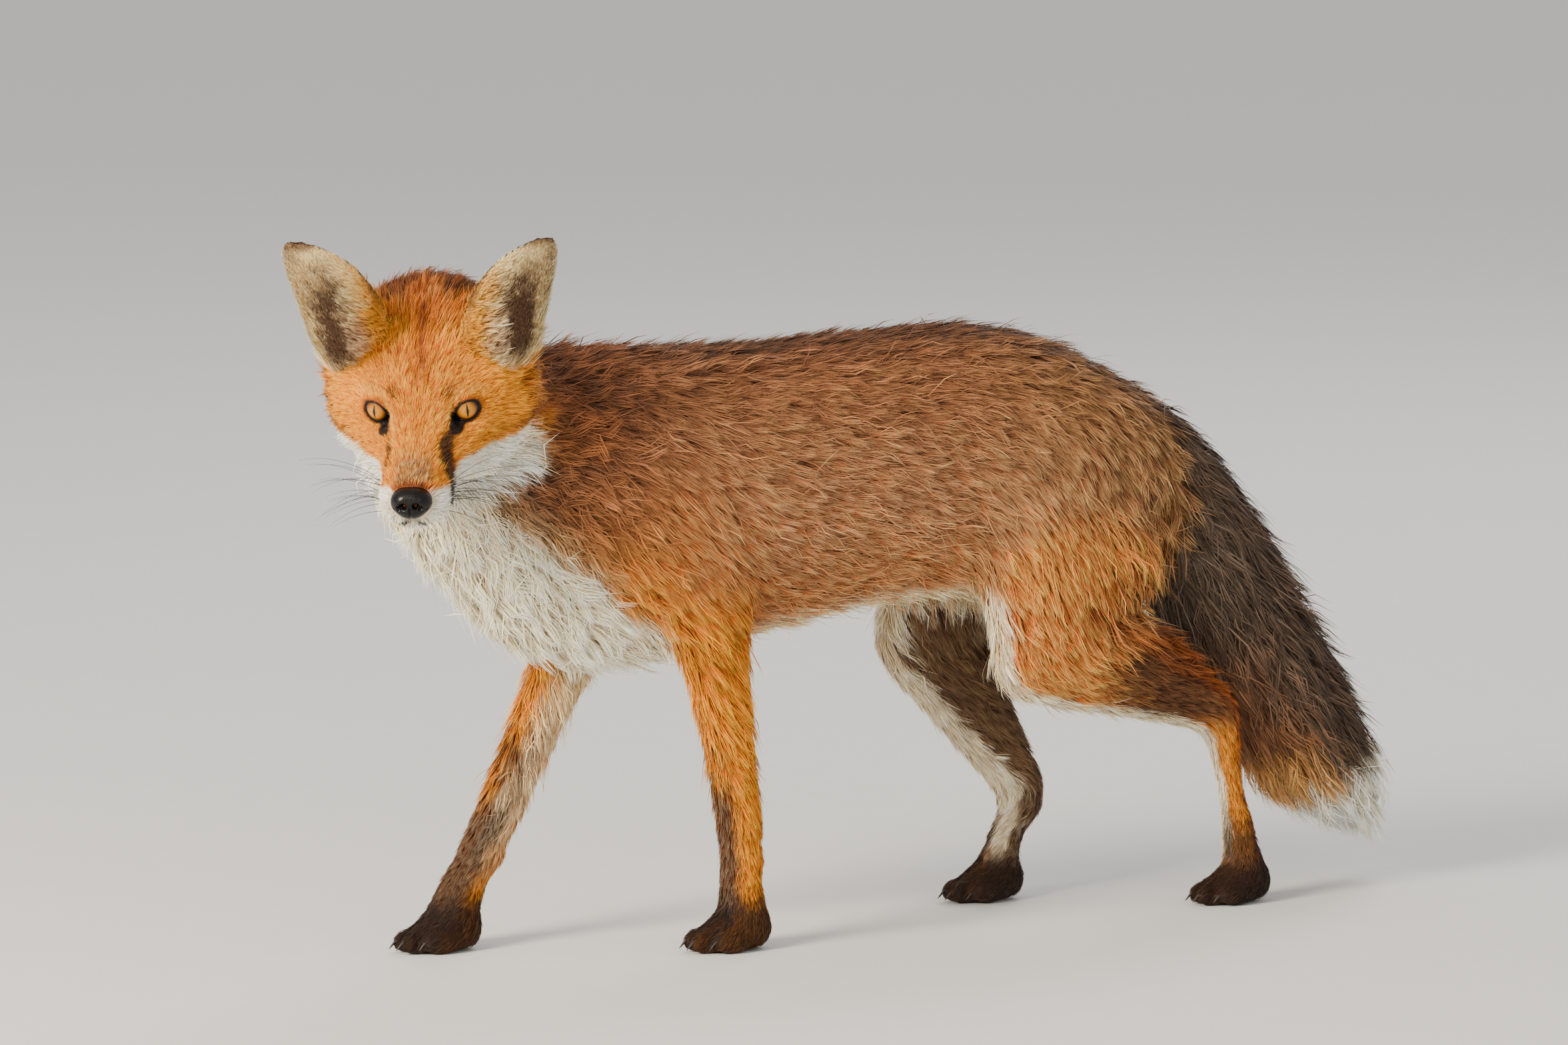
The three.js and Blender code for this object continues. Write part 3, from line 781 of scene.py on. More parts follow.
class Wool:
    """Soft random values over space, about -1 to 1, from seeded waves."""

    def __init__(self, rng, size, waves=20):
        self.waves = rng.normal(0, 1, (waves, 3)) * 2 / size
        self.phases = rng.uniform(0, 2 * np.pi, waves)

    def at(self, p):
        return np.cos(p @ self.waves.T + self.phases).sum(1) / math.sqrt(len(self.phases))


def roughened(rough):
    """A fade from low to high whose edge is broken up by so many times the rough values."""
    return lambda x, low, high, times=0: fade(low, high, x + times * rough)


class Hair:
    """Root, middle and tip colours of the hair at some places, painted over in turn."""

    def __init__(self, count, root, middle, tip):
        self.bands = [np.tile(c, (count, 1)) for c in (root, middle, tip)]

    def paint(self, share, middle, tip=None, root=None):
        """Lays colours over by a share; the tip is the middle's unless given, and the root darker."""
        tip = middle if tip is None else tip
        root = middle * 0.55 if root is None else root
        share = np.clip(share, 0, 1)[:, None]
        self.bands = [band + (c - band) * share for band, c in zip(self.bands, (root, middle, tip))]

    def blend(self, other, share):
        """Moves towards another set of colours."""
        share = np.clip(share, 0, 1)[:, None]
        self.bands = [a + (b - a) * share for a, b in zip(self.bands, other.bands)]


# The heights over which a leg's colours come in, and the way that the tail runs.
LEG_FADE = {"fore": (0.24, 0.19), "hind": (0.28, 0.22)}
TAIL_WAY = (0, 0.55, -1)
# Upper edge of the white on muzzle, cheek and ruff: (f, u) in the head's frame, in mm.
WHITE_EDGE = [(-60, -36), (-35, -28), (-8, -25), (8, -25), (20, -23), (40, -24.5), (48, -24), (54, -21)]
WHITE_EDGE += [(62, -18)]
# Middle line of the tear mark, its width against f, and the dark spot of the brow, in mm.
TEAR_MARK = [(7, 17, -4), (15, 16.5, -8), (24, 16, -13), (33, 16.5, -19), (41, 18.5, -27), (47, 19.5, -33)]
TEAR_WIDTH = ((5, 16, 28, 44, 52), (1.8, 3.2, 6.6, 6.6, 3.4))
BROW_SPOT = (-1, 16, 12)


def head_hair(p, rough):
    """Rust and gold, with a deep red crown, white cheeks and throat, dark marks on the face, and some painted
    shade about the cheeks and ruff.
    """
    h, at = head.into(p), roughened(rough)
    near = folded(h)
    f, side, u = near.T
    hair = Hair(len(p), RUST * 0.4, RUST, GOLD)
    hair.paint(at(side, 22, 44, 2) * at(f, -60, -30), BRIGHT, GOLD)
    # A deep red crown, with a dark line up the middle of the forehead.
    hair.paint(0.8 * at(f, -20, -46, 4) * at(side, 40, 18, 3), RED_BROWN, RUST)
    hair.paint(0.85 * at(f, -48, -58, 4) * at(side, 44, 26), DARK, DARK)
    hair.paint(0.55 * at(side, 12, 3, 1.5) * at(f, 8, -10), RED_BROWN, RUST)
    hair.paint(0.75 * at(side, 3.0, 0.8, 0.7) * at(f, -2, -14) * at(f, -56, -40), DARK, RED_BROWN)
    # Deeper and paler patches all over, and a browner, mottled bridge of the nose.
    hair.paint(0.4 * at(rough, 0.2, 1.2), RED_BROWN, RUST)
    hair.paint(0.35 * at(rough, -0.3, -1.3), BRIGHT, TAN)
    hair.paint(0.45 * at(f, 26, 44, 3) * at(side, 15, 8), BROWN, TAN)
    mottle = fade(0.1, 0.7, np.abs(rough)) * at(f, 34, 48, 2)
    hair.paint(0.75 * mottle * at(side, 13, 8) * at(u, -30, -26), DARK, GREY)
    brow = np.linalg.norm(near - BROW_SPOT, axis=1)
    hair.paint(0.8 * at(brow, 5.5, 1.5, 1), DARK, BROWN)
    # A brown edge over the white of the cheek, partly brown hair and partly painted shade, then the white of
    # cheeks, lips and throat.
    edge = np.interp(f, *zip(*WHITE_EDGE))
    above = at(u - edge, 0, 2) * at(u - edge, 13, 4) * at(f, 4, -22)
    hair.paint(0.75 * above, BROWN, RED_BROWN)
    bridge = at(f, 50, 52) * at(side, 9, 6) * at(u, -30, -27)
    white = at(u - edge, 1.6, -1.6, 1.3) * (1 - bridge) * at(f, -50, -36, 4)
    throat = at(u, -44, -50, 1) * at(f, -56, -42, 3)
    # Brown on the ruff's outer end and on the head's sides behind the cheeks: partly grey-brown hair, partly
    # painted shadow.
    hair.paint(0.65 * at(f, -40, -54, 4) * at(side, 42, 56), BROWN, FOX)
    hair.paint(0.8 * at(f, -58, -68, 4) * at(side, 44, 56), BROWN, UMBER, DARK)
    hair.paint(0.85 * at(side, 58, 68, 3), BROWN, UMBER, DARK)
    hair.paint(np.maximum(white, throat) * at(side, 66, 57, 3), WHITE, WHITE, CREAM * 0.75)
    # Tear marks from the eyes' inner corners to the lips.
    width = np.interp(f, *TEAR_WIDTH) * np.where(h[:, 1] > 0, 1, 0.5)
    tear = path_distance(near, TEAR_MARK) - width
    hair.paint(0.93 * at(tear, 1.2, -1.2, 0.9), BLACK, DARK, BLACK)
    # Dark hair close round the eyes, wider at the inner corner.
    for eye in eyes:
        g, o, v = eye.into(h).T
        ring = inside_almond(o, v) + 0.3 * rough
        reach = 0.8 + 2.0 * at(o, -3, -9) + 0.8 * at(v, 0, -5)
        hair.paint(at(ring, reach + 0.9, reach - 0.5) * at(g, -9, -2), BLACK, DARK, BLACK)
        # A pale-gold arc over each eye.
        arc = at(ring, 3.0, 4.5) * at(ring, 9, 6) * at(v, -2, 4) * at(g, -9, -2)
        hair.paint(0.4 * arc, GOLD, TAN)
    hair.paint(at(path_distance(near, MOUTH), 2.3, 1.0, 0.3), BLACK, BLACK, BLACK)
    hair.paint(0.45 * at(f, 46, 58, 2) * at(u, -43, -46), GREY, GREY)
    return hair


def ear_hair(ear, p, normals, rough):
    """Cream hair inside round a dark hollow that is partly painted shade, a dark rim, and a black back."""
    share, across, facing = ear.places(p, normals)
    at = roughened(rough)
    hair = Hair(len(p), colour(232, 176, 100), colour(254, 216, 144), colour(254, 238, 196))
    hair.paint(at(across, -0.4, -0.9, 0.2) * at(share, 0.95, 0.6), GOLD, GOLD, TAN)
    hair.paint(at(across, 0.6, 0.85, 0.1), CREAM, WHITE, TAN)
    middle = np.interp(share, (0.1, 0.45, 0.75), (-0.02, 0.04, -0.06))
    hollow = at(np.abs(across - middle), 0.62, 0.2, 0.2) * at(share, 0.06, 0.2, 0.05)
    hollow *= at(share, 0.95, 0.6, 0.1)
    speckle = at(rough, 0.1, 0.8) * at(across, 0.1, 0.3) * at(share, 0.45, 0.65)
    hair.paint(0.6 * speckle * at(across, 0.9, 0.7), BROWN, BROWN, TAN * 0.7)
    # The ear's hollow darkened, partly its own darker hair and partly painted shade.
    hair.paint(0.97 * hollow, colour(74, 46, 34), colour(104, 70, 50), BLACK)
    patch = at(np.abs(across - middle + 0.5), 0.28, 0.1) * at(share, 0.16, 0.26)
    hair.paint(0.5 * patch * at(share, 0.6, 0.4), PINK, CREAM)
    hair.paint(at(share, 0.12, 0.0, 0.03), BRIGHT, GOLD)
    end = at(share, 0.93, 0.985, 0.01)
    inner_rim = at(across, -0.86, -0.94, 0.02) * at(share, 0.4, 0.6)
    outer_rim = at(across, 0.965, 1.0) * at(share, 0.45, 0.75) * 0.7
    hair.paint(0.85 * np.maximum(end, np.maximum(inner_rim, outer_rim)), DARK, RED_BROWN)
    back = at(facing, 0.0, -0.25)
    hair.paint(back, RED_BROWN, RUST)
    hair.paint(back * at(share, 0.1, 0.26, 0.05), BLACK, BLACK)
    return hair


# Upper edge of the bib of white hair on neck and chest: (y, z) in metres.
BIB_EDGE = [(-0.33, 0.32), (-0.26, 0.28), (-0.234, 0.258), (-0.2, 0.232), (-0.165, 0.206)]
BIB_EDGE += [(-0.13, 0.186), (-0.1, 0.168)]


def trunk_hair(p, normals, rough):
    """Neck and trunk: grizzled rust over brown, dark along the back, cream below, with painted shade on the
    neck behind the head.
    """
    (left, front, floor), (right, back, top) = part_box("trunk")
    x, y, z = p[:, 0] - (left + right) / 2, p[:, 1], p[:, 2]
    rise, at = normals[:, 2], roughened(rough)
    along, depth = (y - front) / (back - front), (z - floor) / (top - floor)
    hair = Hair(len(p), DARK, UMBER, colour(206, 158, 112))
    hair.paint(0.75 * at(depth, 0.4, 0.9, 0.08), BROWN, UMBER, DARK)
    hair.paint(0.5 * at(rough, 0.25, 1.1), BROWN, UMBER, DARK)
    hair.paint(0.3 * at(rough, -0.4, -1.2), UMBER * 1.2, TAN)
    hair.paint(0.6 * at(depth, 0.5, 0.1, 0.08), RUST * 0.8, TAN * 0.7, BROWN)
    hair.paint(0.45 * at(along, 0.6, 0.95, 0.05), BROWN, TAN * 0.75, DARK)
    shoulder = at(along, 0.34, 0.1, 0.03) * at(depth, 0.75, 0.35)
    hair.paint(0.7 * shoulder, RUST * 0.9, GOLD * 0.75)
    spine = at(np.abs(x), 44 * MM, 14 * MM, 5 * MM) * at(rise, 0.4, 0.85)
    hair.paint(0.8 * spine, DARK, BROWN, BLACK)
    # Darker top of the neck behind the head: partly dark hair, partly painted shade.
    shade_on_nape = at(along, 0.14, -0.1, 0.03) * at(depth, 0.15, 0.55, 0.05)
    hair.paint(0.8 * shade_on_nape, DARK * 1.4, BROWN, DARK)
    # Painted shadow of the head on the neck behind the cheek, over browner hair there.
    shade_behind_cheek = at(y, -0.12, -0.18, 8 * MM) * at(z, 0.22, 0.27)
    hair.paint(0.75 * shade_behind_cheek, DARK * 1.6, UMBER, DARK)
    under = at(rise, -0.72, -0.95, 0.1) * at(along, 0.15, 0.4)
    hair.paint(0.85 * under, CREAM, CREAM, GREY)
    # The bib, widest under the throat.
    edge = np.interp(y, *zip(*BIB_EDGE)) + 6 * MM * rough
    bib = at(z, edge + 5 * MM, edge - 5 * MM) * at(y, -0.085, -0.115)
    hair.paint(0.35 * at(z, edge + 0.03, edge) * at(y, -0.16, -0.2), TAN, CREAM)
    hair.paint(bib, CREAM, WHITE, colour(150, 126, 100))
    return hair


def tail_hair(p, normals, rough):
    """Dark brown, golden below towards the end, with a white tip."""
    at = roughened(rough)
    start, end = spot("tail", 0.5, 0, 1), spot("tail_tip", 0.5, 1, 0)
    share = ((p - start) @ unit(TAIL_WAY)) / ((end - start) @ unit(TAIL_WAY))
    hair = Hair(len(p), GREY * 0.6, colour(100, 82, 66), colour(62, 52, 44))
    hair.paint(0.4 * at(normals[:, 1], -0.3, 0.5, 0.3), BROWN, DARK)
    under = at(normals[:, 1], 0.1, -0.5, 0.2)
    hair.paint(0.7 * under * at(share, 0.4, 0.65, 0.04), colour(160, 100, 60), BROWN)
    hair.paint(0.75 * at(share, 0.66, 0.78, 0.04) * under, colour(214, 148, 78), TAN)
    hair.paint(at(share, 0.8, 0.85, 0.02), WHITE, WHITE, CREAM * 0.8)
    return hair


def leg_hair(leg, p, normals, rough):
    """Rust over dark: the forelegs sooty in front, the hind legs pale-edged and dark inside with painted
    shade.
    """
    z, at = p[:, 2], roughened(rough)
    inward = normals[:, 0] * (-1 if leg.endswith("left") else 1)
    ahead = -normals[:, 1]
    hair = Hair(len(p), BROWN, RUST, GOLD)
    if leg.startswith("fore"):
        hair.paint(0.8 * at(z, 0.2, 0.15, 0.01), BRIGHT, GOLD, RUST * 0.5)
        mottle = at(rough, 0.3, 1.0) * at(z, 0.15, 0.18)
        hair.paint(0.6 * mottle, BROWN, DARK)
        inner = at(inward - 0.4 * np.abs(ahead), 0.2, 0.65, 0.12)
        hair.paint(0.75 * inner * at(z, 0.03, 0.08), CREAM, CREAM, TAN * 0.6)
        front = fade(-0.1, 0.6, ahead + 0.35 * inward + 0.14 * rough)
        sooty = at(z, 0.14, 0.08, 0.02) * front
        hair.paint(0.9 * sooty, DARK, GREY * 0.5, BLACK)
        hair.paint(0.5 * at(ahead, -0.55, -0.9, 0.1) * at(z, 0.17, 0.12), BROWN, DARK)
        hair.paint(0.92 * at(z, 0.04, 0.022, 0.004), DARK, BLACK, BLACK)
        return hair
    hair.paint(0.55 * at(z, 0.32, 0.28), UMBER * 1.1, TAN)
    hair.paint(0.5 * at(z, 0.25, 0.17, 0.01), RUST, TAN)
    outer = at(inward, 0.3, -0.2)
    (_, knee, _), (_, hock, _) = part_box(f"{leg}_shank")
    shank = at((p[:, 1] - knee) / (hock - knee), 0.25, 0.6, 0.1) * at(z, 0.1, 0.125)
    hair.paint(0.9 * shank * outer * at(z, 0.22, 0.18), DARK, BROWN, DARK)
    hair.paint(0.7 * at(z, 0.12, 0.1, 0.005) * outer, BRIGHT * 0.9, GOLD * 0.9)
    behind = at(ahead, -0.1, -0.6, 0.1) * at(z, 0.2, 0.15)
    hair.paint(0.85 * behind, RED_BROWN, RUST, DARK)
    # Painted shade: the hind legs' inner sides dark grey-brown.
    inside = at(inward, 0.1, 0.6, 0.12) * at(z, 0.25, 0.2)
    hair.paint(0.9 * inside, colour(80, 66, 52), colour(114, 95, 74), DARK)
    hock_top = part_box(f"{leg}_metatarsus")[1][2]
    near_hock = at(z, hock_top + 0.05, hock_top - 0.005) * at(inward, 0.1, 0.5)
    front = np.hypot(np.maximum(ahead, 0), 1.4 * np.maximum(-normals[:, 2], 0)) * at(ahead, -0.4, 0.0)
    front = front + 0.12 * inward + 0.08 * rough + 0.55 * near_hock
    edge = at(front, 0.66, 0.88) * at(z, 0.26, 0.21)
    hair.paint(0.95 * edge * at(z, 0.02, 0.04), CREAM, WHITE, CREAM * 0.6)
    sooty = at(z, 0.07, 0.035, 0.008) * at(inward, 0.4, -0.1, 0.1)
    hair.paint(0.85 * sooty, DARK, DARK, BLACK)
    hair.paint(0.85 * at(z, 0.032, 0.018, 0.003), DARK, BLACK, BLACK)
    return hair


def hair_colours(p, normals, owner, rough):
    """Root, middle and tip colours anywhere on the skin, without steps where the nodes meet."""
    hair, at = trunk_hair(p, normals, rough), roughened(rough)
    f, _, u = head.into(p).T
    fore = np.where(on(owner, "head", *ears), 1, on(owner, "neck") * at(u, -72, -54, 3))
    hair.blend(head_hair(p, rough), fore * at(f, -84, -64, 4))
    for node, ear in ears.items():
        share = ear.places(p, normals)[0]
        hair.blend(ear_hair(ear, p, normals, rough), on(owner, node) * at(share, -0.02, 0.08))
    tail, top = on(owner, "tail", "tail_tip"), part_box("tail")[1][2]
    hair.blend(tail_hair(p, normals, rough), tail * at(p[:, 2], top, top - 0.03, 0.005))
    for leg, nodes in LEG_FLESH.items():
        mine = on(owner, *nodes) * at(p[:, 2], *LEG_FADE[leg[:4]], 0.008)
        hair.blend(leg_hair(leg, p, normals, rough), mine)
    return hair.bands


# ---------------------------------------------------------------- the coat

EAR_HAIR = 3.6  # mm, where it is short
THIGH_FRINGE = SimpleNamespace(longer=18 * MM, lift=math.radians(10))
NOSE_SIZE = np.array([21.0, 24.4, 19.0])  # as the CAD's nose pad, in mm


def ear_coat(ear, p, normals):
    """Direction, length and lift of the hair on an ear."""
    share, across, facing = ear.places(p, normals)
    front = facing > 0
    inner = fade(-0.1, -0.6, across) * fade(0.05, 0.15, share) * front
    outer = fade(0.45, 0.8, across) * front
    length = EAR_HAIR + inner * 8 * fade(0.95, 0.3, share) + outer * 4.5 * fade(0.9, 0.4, share)
    rim = fade(0.86, 1.0, np.maximum(share, np.abs(across)))
    length = length * (1 - 0.6 * rim * front)
    sweep = np.where(front, inner * 0.8 - outer * 0.35, -across * 0.35)
    way = ear.up + sweep[:, None] * ear.outward
    lift = np.radians(np.where(front, 10 + 12 * inner * (1 - rim) + 6 * outer, 8))
    return unit(way), length * MM, lift


def laid_coat():
    """The hair's direction, length and lift at every corner of the skin."""
    way, length, lift = coat_at(skin.points)
    # The ears' own hair takes over from the head's at their roots.
    for node, ear in ears.items():
        mine = on(skin.owner, node)
        p, n = skin.points[mine], skin.normals[mine]
        share = fade(0.0, 0.14, ear.places(p, n)[0])
        for field, own in zip((way, length, lift), ear_coat(ear, p, n)):
            field[mine] += (own - field[mine]) * (share if own.ndim == 1 else share[:, None])
    # The backs of the thighs carry longer hair, which stands off towards the tail.
    thighs = on(skin.owner, *LEG_FLESH["hind_left"][:2], *LEG_FLESH["hind_right"][:2])
    back = thighs * fade(0.0, 0.5, skin.normals[:, 1]) * fade(0.13, 0.17, skin.points[:, 2])
    length += THIGH_FRINGE.longer * back
    lift += THIGH_FRINGE.lift * back
    # At the tail's end the hair runs on past the skin.
    leaving = (unit(way) * skin.normals).sum(1) * on(skin.owner, "tail_tip")
    lift = np.maximum(lift, 0.9 * np.arcsin(np.clip(leaving, 0, 1)))
    # Hair shortens to nothing at the lips, the lids and the nose, and at the soles.
    h = head.into(skin.points)
    bare = fade(0.8, 2.2, path_distance(folded(h), MOUTH))
    for eye in eyes:
        g, o, u = eye.into(h).T
        ring = np.where(g > -10, inside_almond(o, u), 99)
        bare *= fade(0.9, 2.4, ring)
        length = np.minimum(length, (2.0 + 0.35 * np.maximum(ring, 0)) * MM)
    nose = np.linalg.norm((h - (head.NOSE_AHEAD, 0, -head.NOSE_DROP)) / NOSE_SIZE, axis=1)
    bare *= fade(0.46, 0.5, nose)
    sole = fade(1.5 * MM, 5 * MM, skin.points[:, 2])
    sole *= fade(-0.75, -0.45, skin.normals[:, 2] + (skin.points[:, 2] > 20 * MM))
    way -= (way * skin.normals).sum(1, keepdims=True) * skin.normals
    return unit(way), length, lift, bare * sole


skin.way, skin.length, skin.lift, skin.cover = laid_coat()
rng = np.random.default_rng(SEED)
LONG = 26 * MM  # hair longer than this has two bends
TUFTS = 620_000
CLUMP = 11  # tufts to a lock
BENDS = 3  # steps along a tuft's path
VARIES = SimpleNamespace(alone=0.6, in_locks=0.8)  # how much a tuft varies by itself and with its lock
STRAY = SimpleNamespace(share=0.05, longer=1.2, higher=1.5, turn=2, gather=0.1)
ROOT_SINK, FLOOR_GAP = 0.35 * MM, 0.2 * MM


def density():
    """Tufts to an area at the skin's corners: more where hair is short and on the head, fewer on the legs."""
    share = (skin.length / (5 * MM)) ** -0.85
    for nodes, factor in ((["head"], 1.8), (ears, 1.15), (sum(LEG_FLESH.values(), []), 0.7)):
        share[on(skin.owner, *nodes)] *= factor
    return share * skin.cover


class Coat:
    """Tufts of hair over the skin: their roots, then the paths that they follow over it."""

    def __init__(self):
        total = np.cumsum(skin.areas * density()[skin.quads].mean(1))
        picks = (np.arange(TUFTS) + rng.random(TUFTS)) / TUFTS * total[-1]
        corners = skin.quads[np.searchsorted(total, picks)]
        s, t = rng.random((2, TUFTS))
        shares = np.stack([(1 - s) * (1 - t), s * (1 - t), s * t, (1 - s) * t], 1)

        def at_root(values):
            values = values[corners]
            return (values * shares.reshape(shares.shape + (1,) * (values.ndim - 2))).sum(1)

        self.roots = at_root(skin.points)
        self.normals = unit(at_root(skin.normals))
        self.way = unit(at_root(skin.way))
        self.length, self.lift = at_root(skin.length), at_root(skin.lift)
        self.owner = skin.owner[corners[np.arange(TUFTS), rng.integers(0, 4, TUFTS)]]
        self.place_locks()
        self.lay()

    def place_locks(self):
        """Draws the locks' own lengths, lifts and turns, then each tuft's."""
        self.seeds = rng.permutation(TUFTS)[: TUFTS // CLUMP]
        self.lock = nearest(tree_of(self.roots[self.seeds]), self.roots)
        n = len(self.seeds)
        own = rng.normal(0, 1, (TUFTS, 3))
        shared = rng.normal(0, 1, (n, 3))[self.lock]
        both = VARIES.alone * own + VARIES.in_locks * shared
        self.length = self.length * np.clip(1 + 0.16 * both[:, 0], 0.5, 1.5)
        self.lift = self.lift * np.clip(1 + 0.28 * both[:, 1], 0.3, 2.0)
        # The long hair of neck and chest lies the loosest.
        loose = fade(22 * MM, 34 * MM, self.length) * on(self.owner, "neck", "trunk")
        self.turn = np.radians(9 + 12 * loose) * both[:, 2]
        self.lift = self.lift * (1 + 0.35 * loose * shared[:, 1])
        stray = rng.random(TUFTS) < STRAY.share
        self.length = np.where(stray, self.length * STRAY.longer, self.length)
        self.lift = np.where(stray, self.lift * STRAY.higher, self.lift)
        self.turn = np.where(stray, self.turn * STRAY.turn, self.turn)
        self.way = unit(self.turned(self.way, self.normals))
        gather = 0.1 + 0.45 * fade(2 * MM, 14 * MM, self.length) + 0.2 * fade(22 * MM, 32 * MM, self.length)
        self.gather = np.where(stray, STRAY.gather, gather)
        self.gather[on(self.owner, "head")] *= 0.5
        self.wave = 0.07 * self.length * fade(16 * MM, 30 * MM, self.length)
        self.wave = self.wave * (0.8 * rng.normal(0, 1, n)[self.lock] + 0.5 * rng.normal(0, 1, TUFTS))
        self.shade = np.exp(0.15 * own[:, 0] + 0.16 * shared[:, 1])

    def turned(self, way, normal):
        """Directions turned about the normals by each tuft's own turn."""
        return way * np.cos(self.turn)[:, None] + np.cross(normal, way) * np.sin(self.turn)[:, None]

    def lay(self):
        """Follows the lie of the coat over the skin, rising from it by the lift."""
        paths = [self.roots - ROOT_SINK * self.normals]
        place, way, normal = self.roots, self.way, self.normals
        rise = self.length * np.sin(self.lift)
        reach = self.length * np.cos(self.lift) / BENDS
        on_end = on(self.owner, "tail_tip")
        for k in range(1, BENDS + 1):
            share = k / BENDS
            place = place + way * reach[:, None]
            near = nearest(skin.tree, place)
            before, normal = normal, skin.normals[near]
            height = ((place - skin.points[near]) * normal).sum(1)
            wanted = rise * share * (1.5 - 0.5 * share)
            change = np.clip(wanted - height, -0.6 * reach, 0.6 * reach)
            # A tuft goes straight on where the skin turns away sharply, and at the tail's end.
            follows = ((normal * before).sum(1) > 0.1) & ~on_end
            normal = np.where(follows[:, None], normal, before)
            place = place + np.where(follows, change, wanted / BENDS)[:, None] * normal
            way = unit(np.where(follows[:, None], way + 0.8 * self.turned(skin.way[near], normal), way))
            way = unit(way - (way * normal).sum(1, keepdims=True) * normal)
            paths.append(place)
        self.paths = np.stack(paths, 1)
        # Long hair waves from side to side.
        side = unit(np.cross(self.normals, self.paths[:, -1] - self.paths[:, 0]))
        for k, swing in ((1, 1.0), (2, -0.8)):
            self.paths[:, k] += (swing * self.wave)[:, None] * side
        lead = self.paths[self.seeds][self.lock]
        pull = self.gather[:, None] * (np.arange(BENDS + 1) / BENDS) ** 1.3
        close = np.linalg.norm(lead[:, 0] - self.paths[:, 0], axis=1) < 0.5 * self.length
        pull = pull * close[:, None]
        self.paths += (lead - self.paths) * pull[..., None]
        self.paths[..., 2] = np.maximum(self.paths[..., 2], FLOOR_GAP)


coat = Coat()


UV_EDGE = 0.004
PATCH = 0.003  # a tuft's patch on the unwrap
WIDTHS = ((2, 0.19), (5, 0.24), (10, 0.33), (24, 0.5), (55, 0.76))  # hair length and tuft width, in mm
BAND_MIDDLE = 0.5  # where along a tuft its middle colour is
ROLL = math.radians(30)  # how far tufts are rolled about their length
PALEST = 0.93
# A tuft's rows along its path; the row of each corner and its side of the path; and its triangles.
LONG_TUFT = (
    [0, 0.9, 2.0, 3],
    [0, 1, 1, 2, 2, 3],
    [0, -1, 1, -1, 1, 0],
    [(0, 2, 1), (1, 2, 4), (1, 4, 3), (3, 4, 5)],
)
SHORT_TUFT = [0, 1.3, 3], [0, 1, 1, 2], [0, -1, 1, 0], [(0, 2, 1), (1, 2, 3)]


def unwrapped(points, centre, axis, ahead):
    """Places on a cylinder's unwrap about an axis, as shares of the turn and of the run."""
    axis, ahead = unit(axis), unit(ahead - np.dot(ahead, axis) * axis)
    d = points - centre
    turn = np.arctan2(d @ np.cross(axis, ahead), d @ ahead)
    both = np.stack([turn, d @ axis], 1)
    low, high = both.min(0), both.max(0)
    return UV_EDGE + (1 - 2 * UV_EDGE) * (both - low) / np.maximum(high - low, 1e-9)


def placed(piece, material, slot, *nodes):
    piece.data.materials.append(material)
    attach(piece, "root")
    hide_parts(*nodes)


def with_colours(piece, tints):
    layer = piece.data.color_attributes.new("tint", "FLOAT_COLOR", "POINT")
    four = np.ones((len(tints), 4), np.float32)
    four[:, :3] = tints
    layer.data.foreach_set("color", four.ravel())


def coat_piece(name, mine, centre, axis, ahead):
    """One joined mesh of the tufts picked by index, each a thin pointed blade bent along its path."""
    long = coat.length[mine] > LONG
    flat = unwrapped(coat.roots[mine], centre, axis, ahead)
    made, start = [], 0
    for group, (rows, order, aside, triangles) in ((long, LONG_TUFT), (~long, SHORT_TUFT)):
        ids = mine[group]
        rows, aside = np.array(rows, float), np.array(aside)
        below = np.minimum(rows.astype(int), BENDS - 1)
        part = (rows - below)[None, :, None]
        line = coat.paths[ids][:, below] * (1 - part) + coat.paths[ids][:, below + 1] * part
        side = unit(np.cross(unit(line[:, -1] - line[:, 0]), coat.normals[ids]))
        roll = rng.normal(0, ROLL, len(ids))[:, None]
        side = side * np.cos(roll) + coat.normals[ids] * np.sin(roll)
        width = np.interp(coat.length[ids] / MM, *zip(*WIDTHS)) * MM * rng.uniform(0.7, 1.25, len(ids)) / 2
        corners = line[:, order] + (aside * width[:, None])[..., None] * side[:, None]
        share = rows[order] / BENDS
        low = np.clip(share / BAND_MIDDLE, 0, 1)[:, None]
        high = np.clip((share - BAND_MIDDLE) / (1 - BAND_MIDDLE), 0, 1)[:, None]
        root, middle, tip = (band[ids][:, None] for band in coat.bands)
        tint = root + (middle - root) * low + (tip - middle) * high
        tint = np.clip(tint * coat.shade[ids][:, None, None], 0, PALEST)
        place = flat[group][:, None] + PATCH / 2 * np.stack([aside, 2 * share - 1], 1)
        faces = start + np.arange(len(ids))[:, None, None] * len(order) + np.array(triangles)
        made.append([a.reshape(-1, a.shape[-1]) for a in (corners, faces, tint, place)])
        start += len(ids) * len(order)
    points, faces, tints, places = (np.concatenate(parts) for parts in zip(*made))
    piece = mesh_object(name, points, faces, smooth=False)
    with_colours(piece, tints)
    layer = piece.data.uv_layers.new(name="OFBake")
    layer.data.foreach_set("uv", places[faces.ravel()].astype(np.float32).ravel())
    return piece


# ---------------------------------------------------------------- materials


